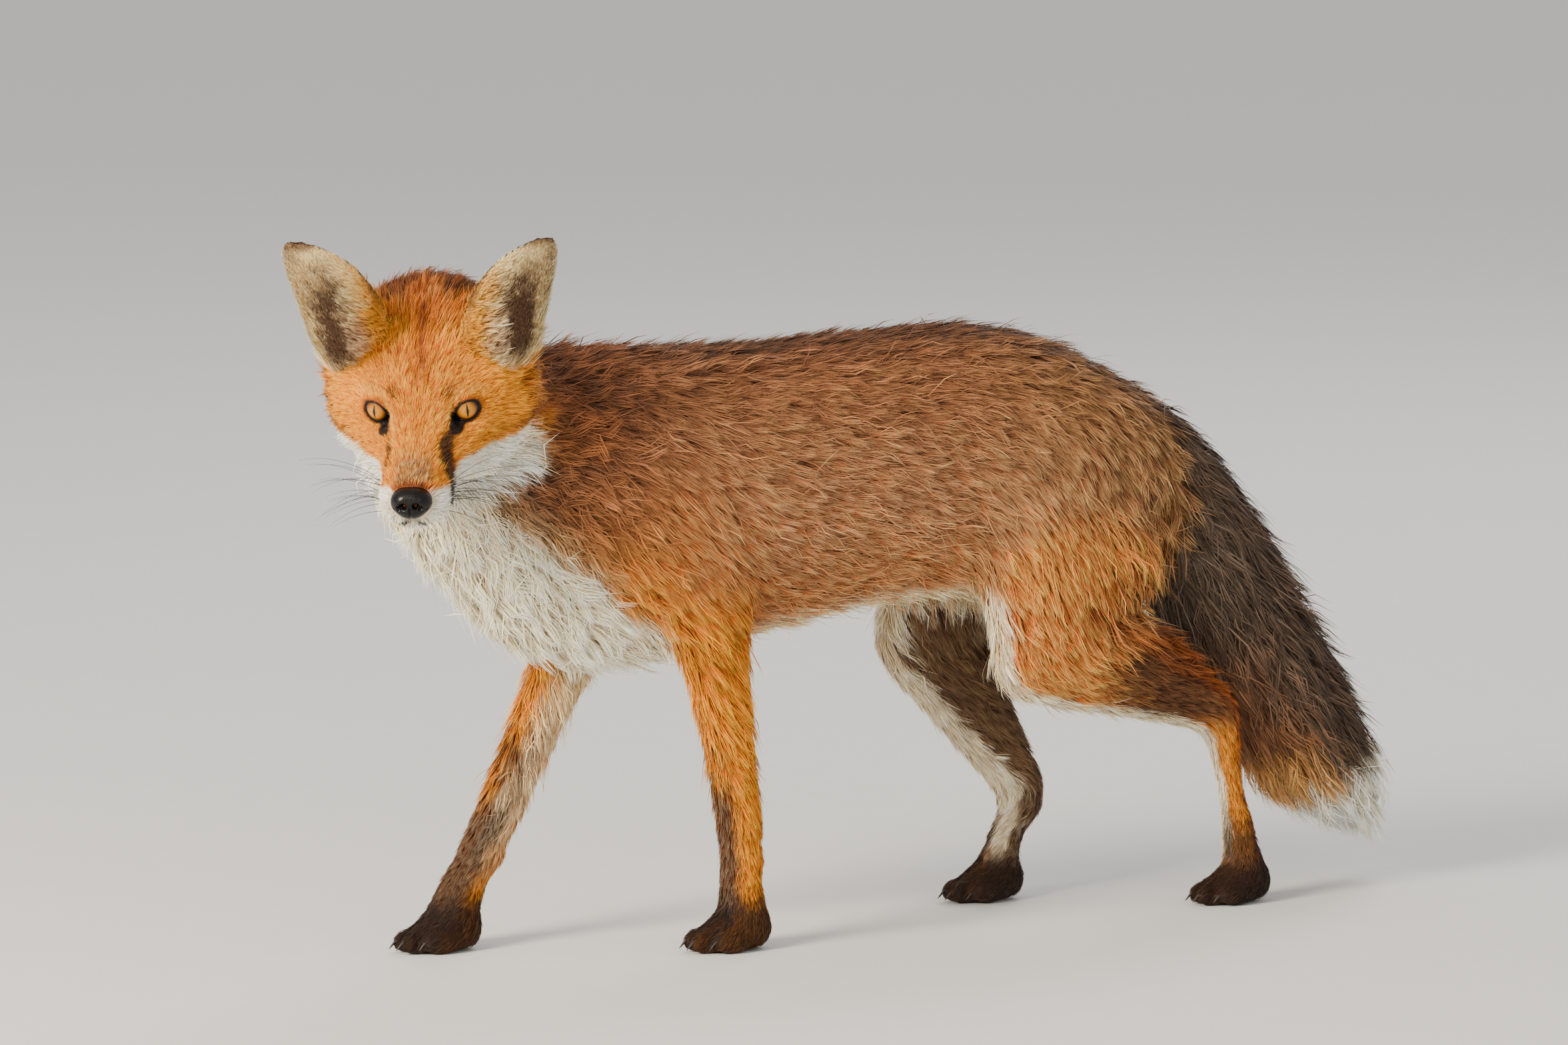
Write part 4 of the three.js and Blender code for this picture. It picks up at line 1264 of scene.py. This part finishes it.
class Nodes:
    """A material's nodes. Inputs are sockets to link or values to set, by number and then by name."""

    def __init__(self, name):
        self.material = bpy.data.materials.new(name)
        self.material.use_nodes = True
        self.tree = self.material.node_tree

    def fill(self, node, *numbered, **named):
        for key, value in (*enumerate(numbered), *named.items()):
            socket = node.inputs[key if isinstance(key, int) else key.replace("_", " ")]
            if isinstance(value, bpy.types.NodeSocket):
                self.tree.links.new(value, socket)
            elif value is not None:
                socket.default_value = value
        return node

    def add(self, kind, settings=None, *numbered, **named):
        node = self.tree.nodes.new("ShaderNode" + kind)
        for key, value in (settings or {}).items():
            setattr(node, key, value)
        return self.fill(node, *numbered, **named)

    def finish(self, **inputs):
        self.fill(self.tree.nodes["Principled BSDF"], **inputs)
        return self.material

    def attribute(self, name):
        return self.add("Attribute", {"attribute_name": name})

    def place(self):
        return self.add("TexCoord").outputs["Object"]

    def noise(self, scale, detail, roughness=0.55, vector=None):
        inputs = {"Scale": scale, "Detail": detail, "Roughness": roughness}
        return self.add("TexNoise", Vector=vector or self.place(), **inputs).outputs["Fac"]

    def ranged(self, value, to_low, to_high, low=0.3, high=0.7):
        """Takes a value's range from low to high over to another range."""
        inputs = {"From Min": low, "From Max": high, "To Min": to_low, "To Max": to_high}
        return self.add("MapRange", Value=value, **inputs).outputs["Result"]

    def maths(self, operation, *values):
        return self.add("Math", {"operation": operation}, *values).outputs["Value"]

    def scaled(self, tint, factor):
        """The colour times a varying factor."""
        return self.add("VectorMath", {"operation": "SCALE"}, tint, Scale=factor).outputs["Vector"]

    def mixed(self, factor, first, second):
        node = self.add("Mix", {"data_type": "RGBA"}, Factor=factor)
        self.fill(node, *[None] * 6, first, second)
        return node.outputs[2]

    def toned(self, value, *stops):
        """A ramp of colours through stops, each a place and a colour."""
        node = self.add("ValToRGB", Fac=value)
        elements = node.color_ramp.elements
        elements.remove(elements[0])
        elements[0].position, elements[0].color = stops[0][0], (*stops[0][1], 1)
        for place, tint in stops[1:]:
            elements.new(place).color = (*tint, 1)
        return node.outputs["Color"]

    def bump(self, height, strength, distance, settings=None, **more):
        node = self.add("Bump", settings, Height=height, Strength=strength, Distance=distance, **more)
        return node.outputs["Normal"]


def hair_material(name, roughness=0.5):
    """Hair coloured by the markings, with fine variation along and across the strands."""
    m = Nodes(name)
    tint = m.attribute("tint").outputs["Color"]
    fine, broad = m.noise(1400.0, 2.0), m.noise(60.0, 3.0)
    factor = m.maths("MULTIPLY", m.ranged(fine, 0.84, 1.14), m.ranged(broad, 0.92, 1.08))
    return m.finish(
        Base_Color=m.scaled(tint, factor),
        Roughness=m.ranged(broad, roughness - 0.06, roughness + 0.1),
        Specular_IOR_Level=0.18,
        Sheen_Weight=0.03,
        Sheen_Roughness=0.4,
        Normal=m.bump(fine, 0.35, 0.0002),
    )


def skin_material():
    """Short under-hair: the markings a little darker as painted shade under the coat, streaked, with a rough
    nap.
    """
    m = Nodes("skin_nap")
    tint = m.attribute("tint").outputs["Color"]
    fine, nap = m.noise(900.0, 3.0), m.noise(260.0, 4.0, 0.65)
    return m.finish(
        Base_Color=m.scaled(tint, m.ranged(nap, 0.62, 1.05)),
        Roughness=m.ranged(fine, 0.6, 0.85),
        Specular_IOR_Level=0.25,
        Normal=m.bump(fine, 0.5, 0.0002, Normal=m.bump(nap, 0.8, 0.0006)),
    )


# ---------------------------------------------------------------- skin and coat pieces

WOOL_SIZES = (6 * MM, 20 * MM)
wool = [Wool(np.random.default_rng(SEED + i), size) for i, size in enumerate(WOOL_SIZES)]


def rough_at(p, own):
    """Small random values that break up the markings' edges."""
    return 0.5 * wool[0].at(p) + 0.5 * wool[1].at(p) + own


skin_rough = rough_at(skin.points, np.zeros(len(skin.points)))
skin_bands = hair_colours(skin.points, skin.normals, skin.owner, skin_rough)
skin_piece = mesh_object("skin", skin.points, skin.quads)
# The skin has the darker colours of the hair's roots, a painted shade for where it is seen between the tufts.
with_colours(skin_piece, 0.35 * skin_bands[0] + 0.5 * skin_bands[1])
placed(skin_piece, skin_material(), "coat", *FLESH)

root_rough = rough_at(coat.roots, rng.normal(0, 0.5, TUFTS))
# The markings are where they are seen, so a tuft is coloured for the place it reaches.
coat.bands = hair_colours(coat.paths[:, 2], coat.normals, coat.owner, root_rough)
# Some tufts have paler tips, and some darker ones.
pale = 0.7 * np.clip(rng.normal(-0.35, 0.6, TUFTS), 0, 1)[:, None]
tips = coat.bands[2] + (np.minimum(coat.bands[2] * 2.1, 0.8) - coat.bands[2]) * pale
dark = np.clip(rng.normal(-0.5, 0.5, TUFTS), 0, 0.7)[:, None]
coat.bands[2] = tips * (1 - dark * (1 - 0.8 * tips.mean(1, keepdims=True)))
fur = {
    "coat": hair_material("coat_hair"),
    "face": hair_material("face_hair", 0.55),
    "ears": hair_material("ear_hair", 0.6),
    "brush": hair_material("brush_hair", 0.48),
    "paws": hair_material("paw_hair"),
}
fur["tail_tip"] = fur["brush"]
SIDE, BACK, UP = np.eye(3)
MOST_TRIANGLES = 190_000  # in one piece


def halves(name, slot, mine, centre, axis, ahead, side):
    """A piece, or two to four of them where it would have too many triangles."""
    if np.where(coat.length[mine] > LONG, 4, 2).sum() < MOST_TRIANGLES:
        placed(coat_piece(name, mine, centre, axis, ahead), fur[slot], slot)
        return
    split = (coat.roots[mine] - centre) @ side
    far = split > np.median(split)
    second = ahead if side is not ahead else axis
    halves(name + "_a", slot, mine[far], centre, axis, ahead, second)
    halves(name + "_b", slot, mine[~far], centre, axis, ahead, second)


regions = [("head", "face", ["head"], head.forward, head.up, head.left)]
regions += [(node, "ears", [node], ear.up, ear.front, ear.outward) for node, ear in ears.items()]
regions += [(node, "coat", [node], BACK, UP, SIDE) for node in ("neck", "trunk")]
regions += [
    ("tail", "brush", ["tail"], np.array(TAIL_WAY), BACK, SIDE),
    ("tail_tip", "tail_tip", ["tail_tip"], np.array([0, 0.3, -1]), BACK, SIDE),
]
for leg, nodes in LEG_FLESH.items():
    regions.append((f"{leg}_leg", "coat", nodes[:-1], UP, BACK, SIDE))
    regions.append((f"{leg}_paw", "paws", nodes[-1:], UP, BACK, SIDE))
for name, slot, nodes, axis, ahead, side in regions:
    mine = np.flatnonzero(on(coat.owner, *nodes))
    halves(f"coat_{name}", slot, mine, coat.roots[mine].mean(0), axis, ahead, side)

# ---------------------------------------------------------------- eyes, lids, nose, claws, whiskers

LID_RIM = SimpleNamespace(radius=0.62, flatness=0.62, proud=0.25, stations=96, sides=12)
IRIS = SimpleNamespace(radius=6.9, pupil_width=0.66, pupil_height=4.9)
CORNEA = SimpleNamespace(height=0.55, radius=6.4)
BALL_ROWS, BALL_COLUMNS = 73, 96
PAD_ROWS, PAD_COLUMNS = 141, 180


def grid_faces(rows, columns, closed_rows=False):
    """Quads over a grid of points whose columns wrap round, and whose rows may."""
    i = np.arange(rows if closed_rows else rows - 1)[:, None]
    j = np.arange(columns)[None]
    a, b = i * columns + j, i * columns + (j + 1) % columns
    c, d = (i + 1) % rows * columns + (j + 1) % columns, (i + 1) % rows * columns + j
    return np.stack([a, b, c, d], -1).reshape(-1, 4)


def ball_points(rows, columns):
    """Unit directions over a ball, pole to pole, with the poles along the first axis."""
    polar = np.linspace(0.004, np.pi - 0.004, rows)[:, None]
    turn = np.linspace(0, 2 * np.pi, columns, endpoint=False)[None]
    x = np.cos(polar) + 0 * turn
    return np.stack([x, np.sin(polar) * np.cos(turn), np.sin(polar) * np.sin(turn)], -1).reshape(-1, 3)


def tube(line, up, aside, half_height, half_width, sides):
    """Rings of points round a line."""
    turn = np.linspace(0, 2 * np.pi, sides, endpoint=False)[None, :, None]
    height, width = half_height[:, None, None], half_width[:, None, None]
    ring = line[:, None] + height * np.cos(turn) * up[:, None] + width * np.sin(turn) * aside[:, None]
    return ring.reshape(-1, 3)


def turned(x, y, angle):
    """A pair of coordinates turned by an angle."""
    return x * math.cos(angle) - y * math.sin(angle), x * math.sin(angle) + y * math.cos(angle)


def eye_material():
    """Amber iris with radial fibres and a dark edge, an upright slit pupil and a wet clear front."""
    m = Nodes("eye_amber")
    split = m.add("SeparateXYZ", Vector=m.attribute("eye_at").outputs["Vector"])
    out, up = split.outputs["Y"], split.outputs["Z"]
    away = m.maths("SQRT", m.maths("ADD", m.maths("MULTIPLY", out, out), m.maths("MULTIPLY", up, up)))
    turn = m.maths("ARCTAN2", up, out)
    fibre_at = m.add("CombineXYZ", X=m.maths("MULTIPLY", turn, 5.0), Y=m.maths("MULTIPLY", away, 0.35))
    fibres = m.noise(3.2, 5.0, 0.7, fibre_at.outputs["Vector"])
    ring = m.toned(
        m.maths("DIVIDE", away, IRIS.radius),
        (0.0, colour(140, 84, 18)),
        (0.34, colour(216, 146, 30)),
        (0.62, colour(196, 120, 20)),
        (0.8, colour(130, 76, 18)),
        (0.92, colour(46, 24, 12)),
        (1.0, colour(14, 9, 8)),
    )
    # The upper lid shades the top of the iris.
    shaded = m.ranged(up, 1.1, 0.55, -4.0, 5.5)
    iris = m.scaled(ring, m.maths("MULTIPLY", m.ranged(fibres, 0.62, 1.35, 0.25, 0.75), shaded))
    across = m.maths("DIVIDE", out, IRIS.pupil_width)
    along = m.maths("DIVIDE", up, IRIS.pupil_height)
    slit = m.maths("ADD", m.maths("ABSOLUTE", across), m.maths("MULTIPLY", along, along))
    return m.finish(
        Base_Color=m.mixed(m.ranged(slit, 1.0, 0.0, 0.86, 1.08), iris, (0.003, 0.0025, 0.002, 1)),
        Roughness=m.ranged(fibres, 0.22, 0.4),
        Specular_IOR_Level=0.15,
        Coat_Weight=0.6,
        Coat_Roughness=0.03,
        Coat_IOR=1.34,
        Normal=m.bump(fibres, 0.25, 0.0001),
    )


def wet_material(name, tint, roughness, scale, height):
    """Dark bare skin: pebbled, uneven in tone, wet."""
    m = Nodes(name)
    pebbles = m.add("TexVoronoi", Vector=m.place(), Scale=scale).outputs["Distance"]
    mottle = m.noise(180.0, 4.0)
    paler = tint * 2.0 + 0.001
    return m.finish(
        Base_Color=m.mixed(m.ranged(mottle, 0.0, 1.0, 0.35), (*tint, 1), (*paler, 1)),
        Roughness=m.ranged(mottle, roughness - 0.08, roughness + 0.12),
        Specular_IOR_Level=0.12,
        Coat_Weight=0.22,
        Coat_Roughness=0.1,
        Normal=m.bump(pebbles, 0.7, height, {"invert": True}),
    )


def lid_ring(eye, name):
    """A soft dark rim round the opening, sunk into the lids, wider in the inner corner."""
    share = np.arange(LID_RIM.stations) / LID_RIM.stations
    o, u = lid_edge(share)
    g = np.sqrt(np.maximum(EYE_RADIUS**2 - o**2 - u**2, 0)) + LID_RIM.proud
    line = np.stack([g, o, u], 1)
    along, out = unit(np.roll(line, -1, 0) - np.roll(line, 1, 0)), unit(line)
    thick = LID_RIM.radius * (1 + 1.1 * fade(0.6, 1.0, -np.cos(2 * np.pi * share)))
    ring = tube(line, out, np.cross(along, out), LID_RIM.flatness * thick, thick, LID_RIM.sides)
    return mesh_object(name, eye.out(*ring.T), grid_faces(LID_RIM.stations, LID_RIM.sides, closed_rows=True))


def make_eyes():
    amber = eye_material()
    rim = wet_material("lid_rim", colour(16, 12, 11), 0.5, 2200.0, 0.00015)
    g, o, u = (ball_points(BALL_ROWS, BALL_COLUMNS) * EYE_RADIUS).T
    # The cornea stands a little proud of the ball.
    dome = (g > 0) * CORNEA.height * np.clip(1 - (np.hypot(o, u) / CORNEA.radius) ** 2, 0, 1)
    # Kept upright: the pupil stands straight in the tilted opening.
    across, up = turned(o, u, math.radians(LID.tilt))
    iris_at = np.stack([g, np.where(g > 0, across, 20.0), up], 1)
    for eye, side in zip(eyes, ("left", "right")):
        place = eye.out(g + dome, o, u)
        faces = outward_faces(place, grid_faces(BALL_ROWS, BALL_COLUMNS))
        piece = mesh_object(f"eyeball_{side}", place, faces)
        layer = piece.data.attributes.new("eye_at", "FLOAT_VECTOR", "POINT")
        layer.data.foreach_set("vector", iris_at.astype(np.float32).ravel())
        placed(piece, amber, "eyes", f"eye_{side}")
        placed(lid_ring(eye, f"lid_rim_{side}"), rim, "nose")


# The nose pad, in mm in its own frame: places sunk for the nostrils, with reach and depth.
NOSTRIL = [((9.6, 3.9, 0.2), 2.0, 4.2), ((8.2, 6.0, -1.0), 1.6, 3.2)]
NOSTRIL += [((5.6, 8.6, -1.6), 1.25, 2.4), ((3.0, 10.4, -1.0), 1.0, 1.5)]
NOSE_WING = SimpleNamespace(place=(9.0, 5.4, 1.8), reach=3.4, height=0.9)
NOSE_GROOVE = SimpleNamespace(width=0.55, depth=0.9)
NOSE_DIP = math.radians(12)


def make_nose():
    """The nose pad: comma nostrils, a groove down the front and a pebbled wet skin."""
    way = ball_points(PAD_ROWS, PAD_COLUMNS)
    x, y, z = way.T
    half = NOSE_SIZE / 2
    # Flat in front, full at the sides, narrowing to the lip.
    r = (np.abs(x) ** 2.6 + np.abs(y) ** 2.4 + np.abs(z) ** 2.4) ** (-1 / 2.5)
    local = way * r[:, None] * half
    high = local[:, 2] / half[2]
    local[:, 1] *= 1 - 0.26 * fade(0.0, -1.0, high)
    local[:, 0] += 1.2 * fade(-0.2, 0.9, high) - 0.8
    sink = np.zeros(len(local))
    for place, reach, depth in NOSTRIL:
        gap = np.linalg.norm(folded(local) - place, axis=1)
        sink = np.maximum(sink, depth * np.exp(-((gap / reach) ** 2.4)))
    wing = np.linalg.norm(folded(local) - NOSE_WING.place, axis=1)
    sink -= NOSE_WING.height * np.exp(-((wing / NOSE_WING.reach) ** 2))
    groove = NOSE_GROOVE.depth * np.exp(-((local[:, 1] / NOSE_GROOVE.width) ** 2))
    sink += groove * fade(0.1, 0.6, x) * fade(0.35, -0.25, high)
    local -= sink[:, None] * unit(way * (1.3, 0.5, 0.7))
    f, u = turned(local[:, 0], local[:, 2], NOSE_DIP)
    place = head.out(f + head.NOSE_AHEAD, local[:, 1], u - head.NOSE_DROP)
    piece = mesh_object("nose_pad", place, outward_faces(place, grid_faces(PAD_ROWS, PAD_COLUMNS)))
    placed(piece, wet_material("nose_leather", colour(9, 7, 7), 0.3, 1100.0, 0.0003), "nose", "nose")


def make_claws():
    m = Nodes("claw_horn")
    streak = m.noise(700.0, 5.0)
    horn = m.finish(
        Base_Color=m.toned(streak, (0, colour(22, 17, 15)), (1, colour(58, 46, 38))),
        Roughness=m.ranged(streak, 0.28, 0.45),
        Normal=m.bump(streak, 0.3, 0.0001),
    )
    for leg in LEGS:
        nodes = [f"{leg}_claw_{i}" for i in range(1, 5)]
        piece = mesh_object(f"claws_{leg}", *subdivided(clean_mesh(nodes), "CATMULL_CLARK"))
        placed(piece, horn, "claws", *nodes)


# Roots of the whiskers' rows on one side, in the head's frame in mm.
WHISKER_ROWS = ((50, 13, -31), (45, 15.5, -34), (40, 17.5, -37), (48, 14, -37))
# Brow whiskers: root, the direction each sets out in, and its length in mm.
BROW_WHISKERS = [((5, 13, 9), (0.3, 0.35, 1), 26), ((4, 14, 9), (0.1, 0.6, 1), 32)]
BROW_WHISKERS += [((7, 12, 9), (0.5, 0.2, 1), 20)]
WHISKER = SimpleNamespace(steps=14, sides=5, radius=0.21 * MM, taper=0.82, sunk=0.5 * MM)
WHISKER_SWEEP = SimpleNamespace(back=0.55, down=0.95)


def whisker_line(f, l, u, way, length):
    """The whisker's line, from the skin nearest to its root."""
    t = np.linspace(0, 1, WHISKER.steps)[:, None]
    near = nearest(skin.tree, head.out(f, l, u)[None])[0]
    root = skin.points[near] - WHISKER.sunk * skin.normals[near]
    sweep = -head.forward * WHISKER_SWEEP.back - np.array((0, 0, WHISKER_SWEEP.down))
    return root + length * MM * (t * unit(head.turn_out(way)) + 0.5 * t**2 * sweep)


def make_whiskers():
    m = Nodes("whisker_black")
    tone = m.noise(300.0, 2.0)
    base = m.toned(tone, (0, colour(18, 14, 13)), (1, colour(44, 34, 30)))
    black = m.finish(Base_Color=base, Roughness=m.ranged(tone, 0.3, 0.45))
    own = np.random.default_rng(SEED + 11)
    thick = WHISKER.radius * (1 - WHISKER.taper * np.linspace(0, 1, WHISKER.steps))
    shape = grid_faces(WHISKER.steps, WHISKER.sides)
    for side, name in ((1, "left"), (-1, "right")):
        hairs = list(BROW_WHISKERS)
        for row, (f, l, u) in enumerate(WHISKER_ROWS):
            for k in range(4):
                root = (f - 5.2 * k, l + 1.4 * k, u + 0.6 * k + own.normal(0, 0.4))
                way = (-0.1 - 0.16 * k + own.normal(0, 0.1), 1.0, 0.5 - 0.24 * row + own.normal(0, 0.12))
                hairs.append((root, way, (34 + 11 * k) * own.uniform(0.85, 1.15)))
        points = []
        for (f, l, u), (df, dl, du), length in hairs:
            line = whisker_line(f, side * l, u, (df, side * dl, du), length)
            along = unit(np.gradient(line, axis=0))
            aside = unit(np.cross(along, (0.1, 0.2, 1)))
            points.append(tube(line, aside, np.cross(aside, along), thick, thick, WHISKER.sides))
        faces = [shape + i * len(points[0]) for i in range(len(points))]
        piece = mesh_object(f"whiskers_{name}", np.concatenate(points), np.concatenate(faces))
        placed(piece, black, "face")


make_eyes()
make_nose()
make_claws()
make_whiskers()

# ---------------------------------------------------------------- floor, light and camera

FLOOR_HALF = 30.0


def make_floor():
    m = Nodes("pale_floor")
    tone = m.toned(m.noise(40.0, 3.0), (0, (0.70, 0.70, 0.69)), (1, (0.74, 0.74, 0.73)))
    corners = FLOOR_HALF * np.array([(-1, -1, 0), (1, -1, 0), (1, 1, 0), (-1, 1, 0)], float)
    floor = mesh_object("floor", corners, np.array([[0, 1, 2, 3]]))
    floor.data.materials.append(m.finish(Base_Color=tone, Roughness=0.8))


def pointed(name, data, place, way):
    """A lamp or camera at a place, looking along a direction."""
    made = linked(name, data)
    made.location = place
    made.rotation_euler = way.to_track_quat("-Z", "Y").to_euler()
    return made


def lamp(name, place, size, power, tint):
    light = bpy.data.lights.new(name, "AREA")
    light.shape, light.size, light.energy, light.color = "DISK", size, power, tint
    pointed(name, light, place, Vector((0, -0.05, 0.25)) - Vector(place))


make_floor()
lamp("key", (0.9, -3.2, 1.9), 1.4, 230, (1.0, 0.88, 0.72))
lamp("fill", (3.6, -0.4, 1.6), 2.2, 22, (1.0, 0.97, 0.94))
lamp("rim", (-1.8, 2.2, 2.6), 1.6, 40, (1.0, 0.97, 0.93))
world = bpy.data.worlds.new("studio")
bpy.context.scene.world = world
world.use_nodes = True
world.node_tree.nodes["Background"].inputs["Color"].default_value = (0.95, 0.94, 0.92, 1)
world.node_tree.nodes["Background"].inputs["Strength"].default_value = 0.8

CAMERA = SimpleNamespace(azimuth=60, elevation=7, distance=6.0, pixels_per_metre=2480, image_width=2353)
AIM_BACK, AIM_HEIGHT = 0.262, 0.2506  # the aim's place ahead of the trunk's rear end and over the floor


def make_camera():
    azimuth, elevation = math.radians(CAMERA.azimuth), math.radians(CAMERA.elevation)
    level = math.cos(elevation)
    back = Vector((math.sin(azimuth) * level, -math.cos(azimuth) * level, math.sin(elevation)))
    low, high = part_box("trunk")
    aim = Vector(((low[0] + high[0]) / 2, high[1] - AIM_BACK, AIM_HEIGHT))
    camera = bpy.data.cameras.new("photo_view")
    camera.sensor_width = 36
    camera.lens = camera.sensor_width * CAMERA.pixels_per_metre * CAMERA.distance / CAMERA.image_width
    camera.clip_end = 100
    bpy.context.scene.camera = pointed("photo_view", camera, aim + CAMERA.distance * back, -back)


make_camera()
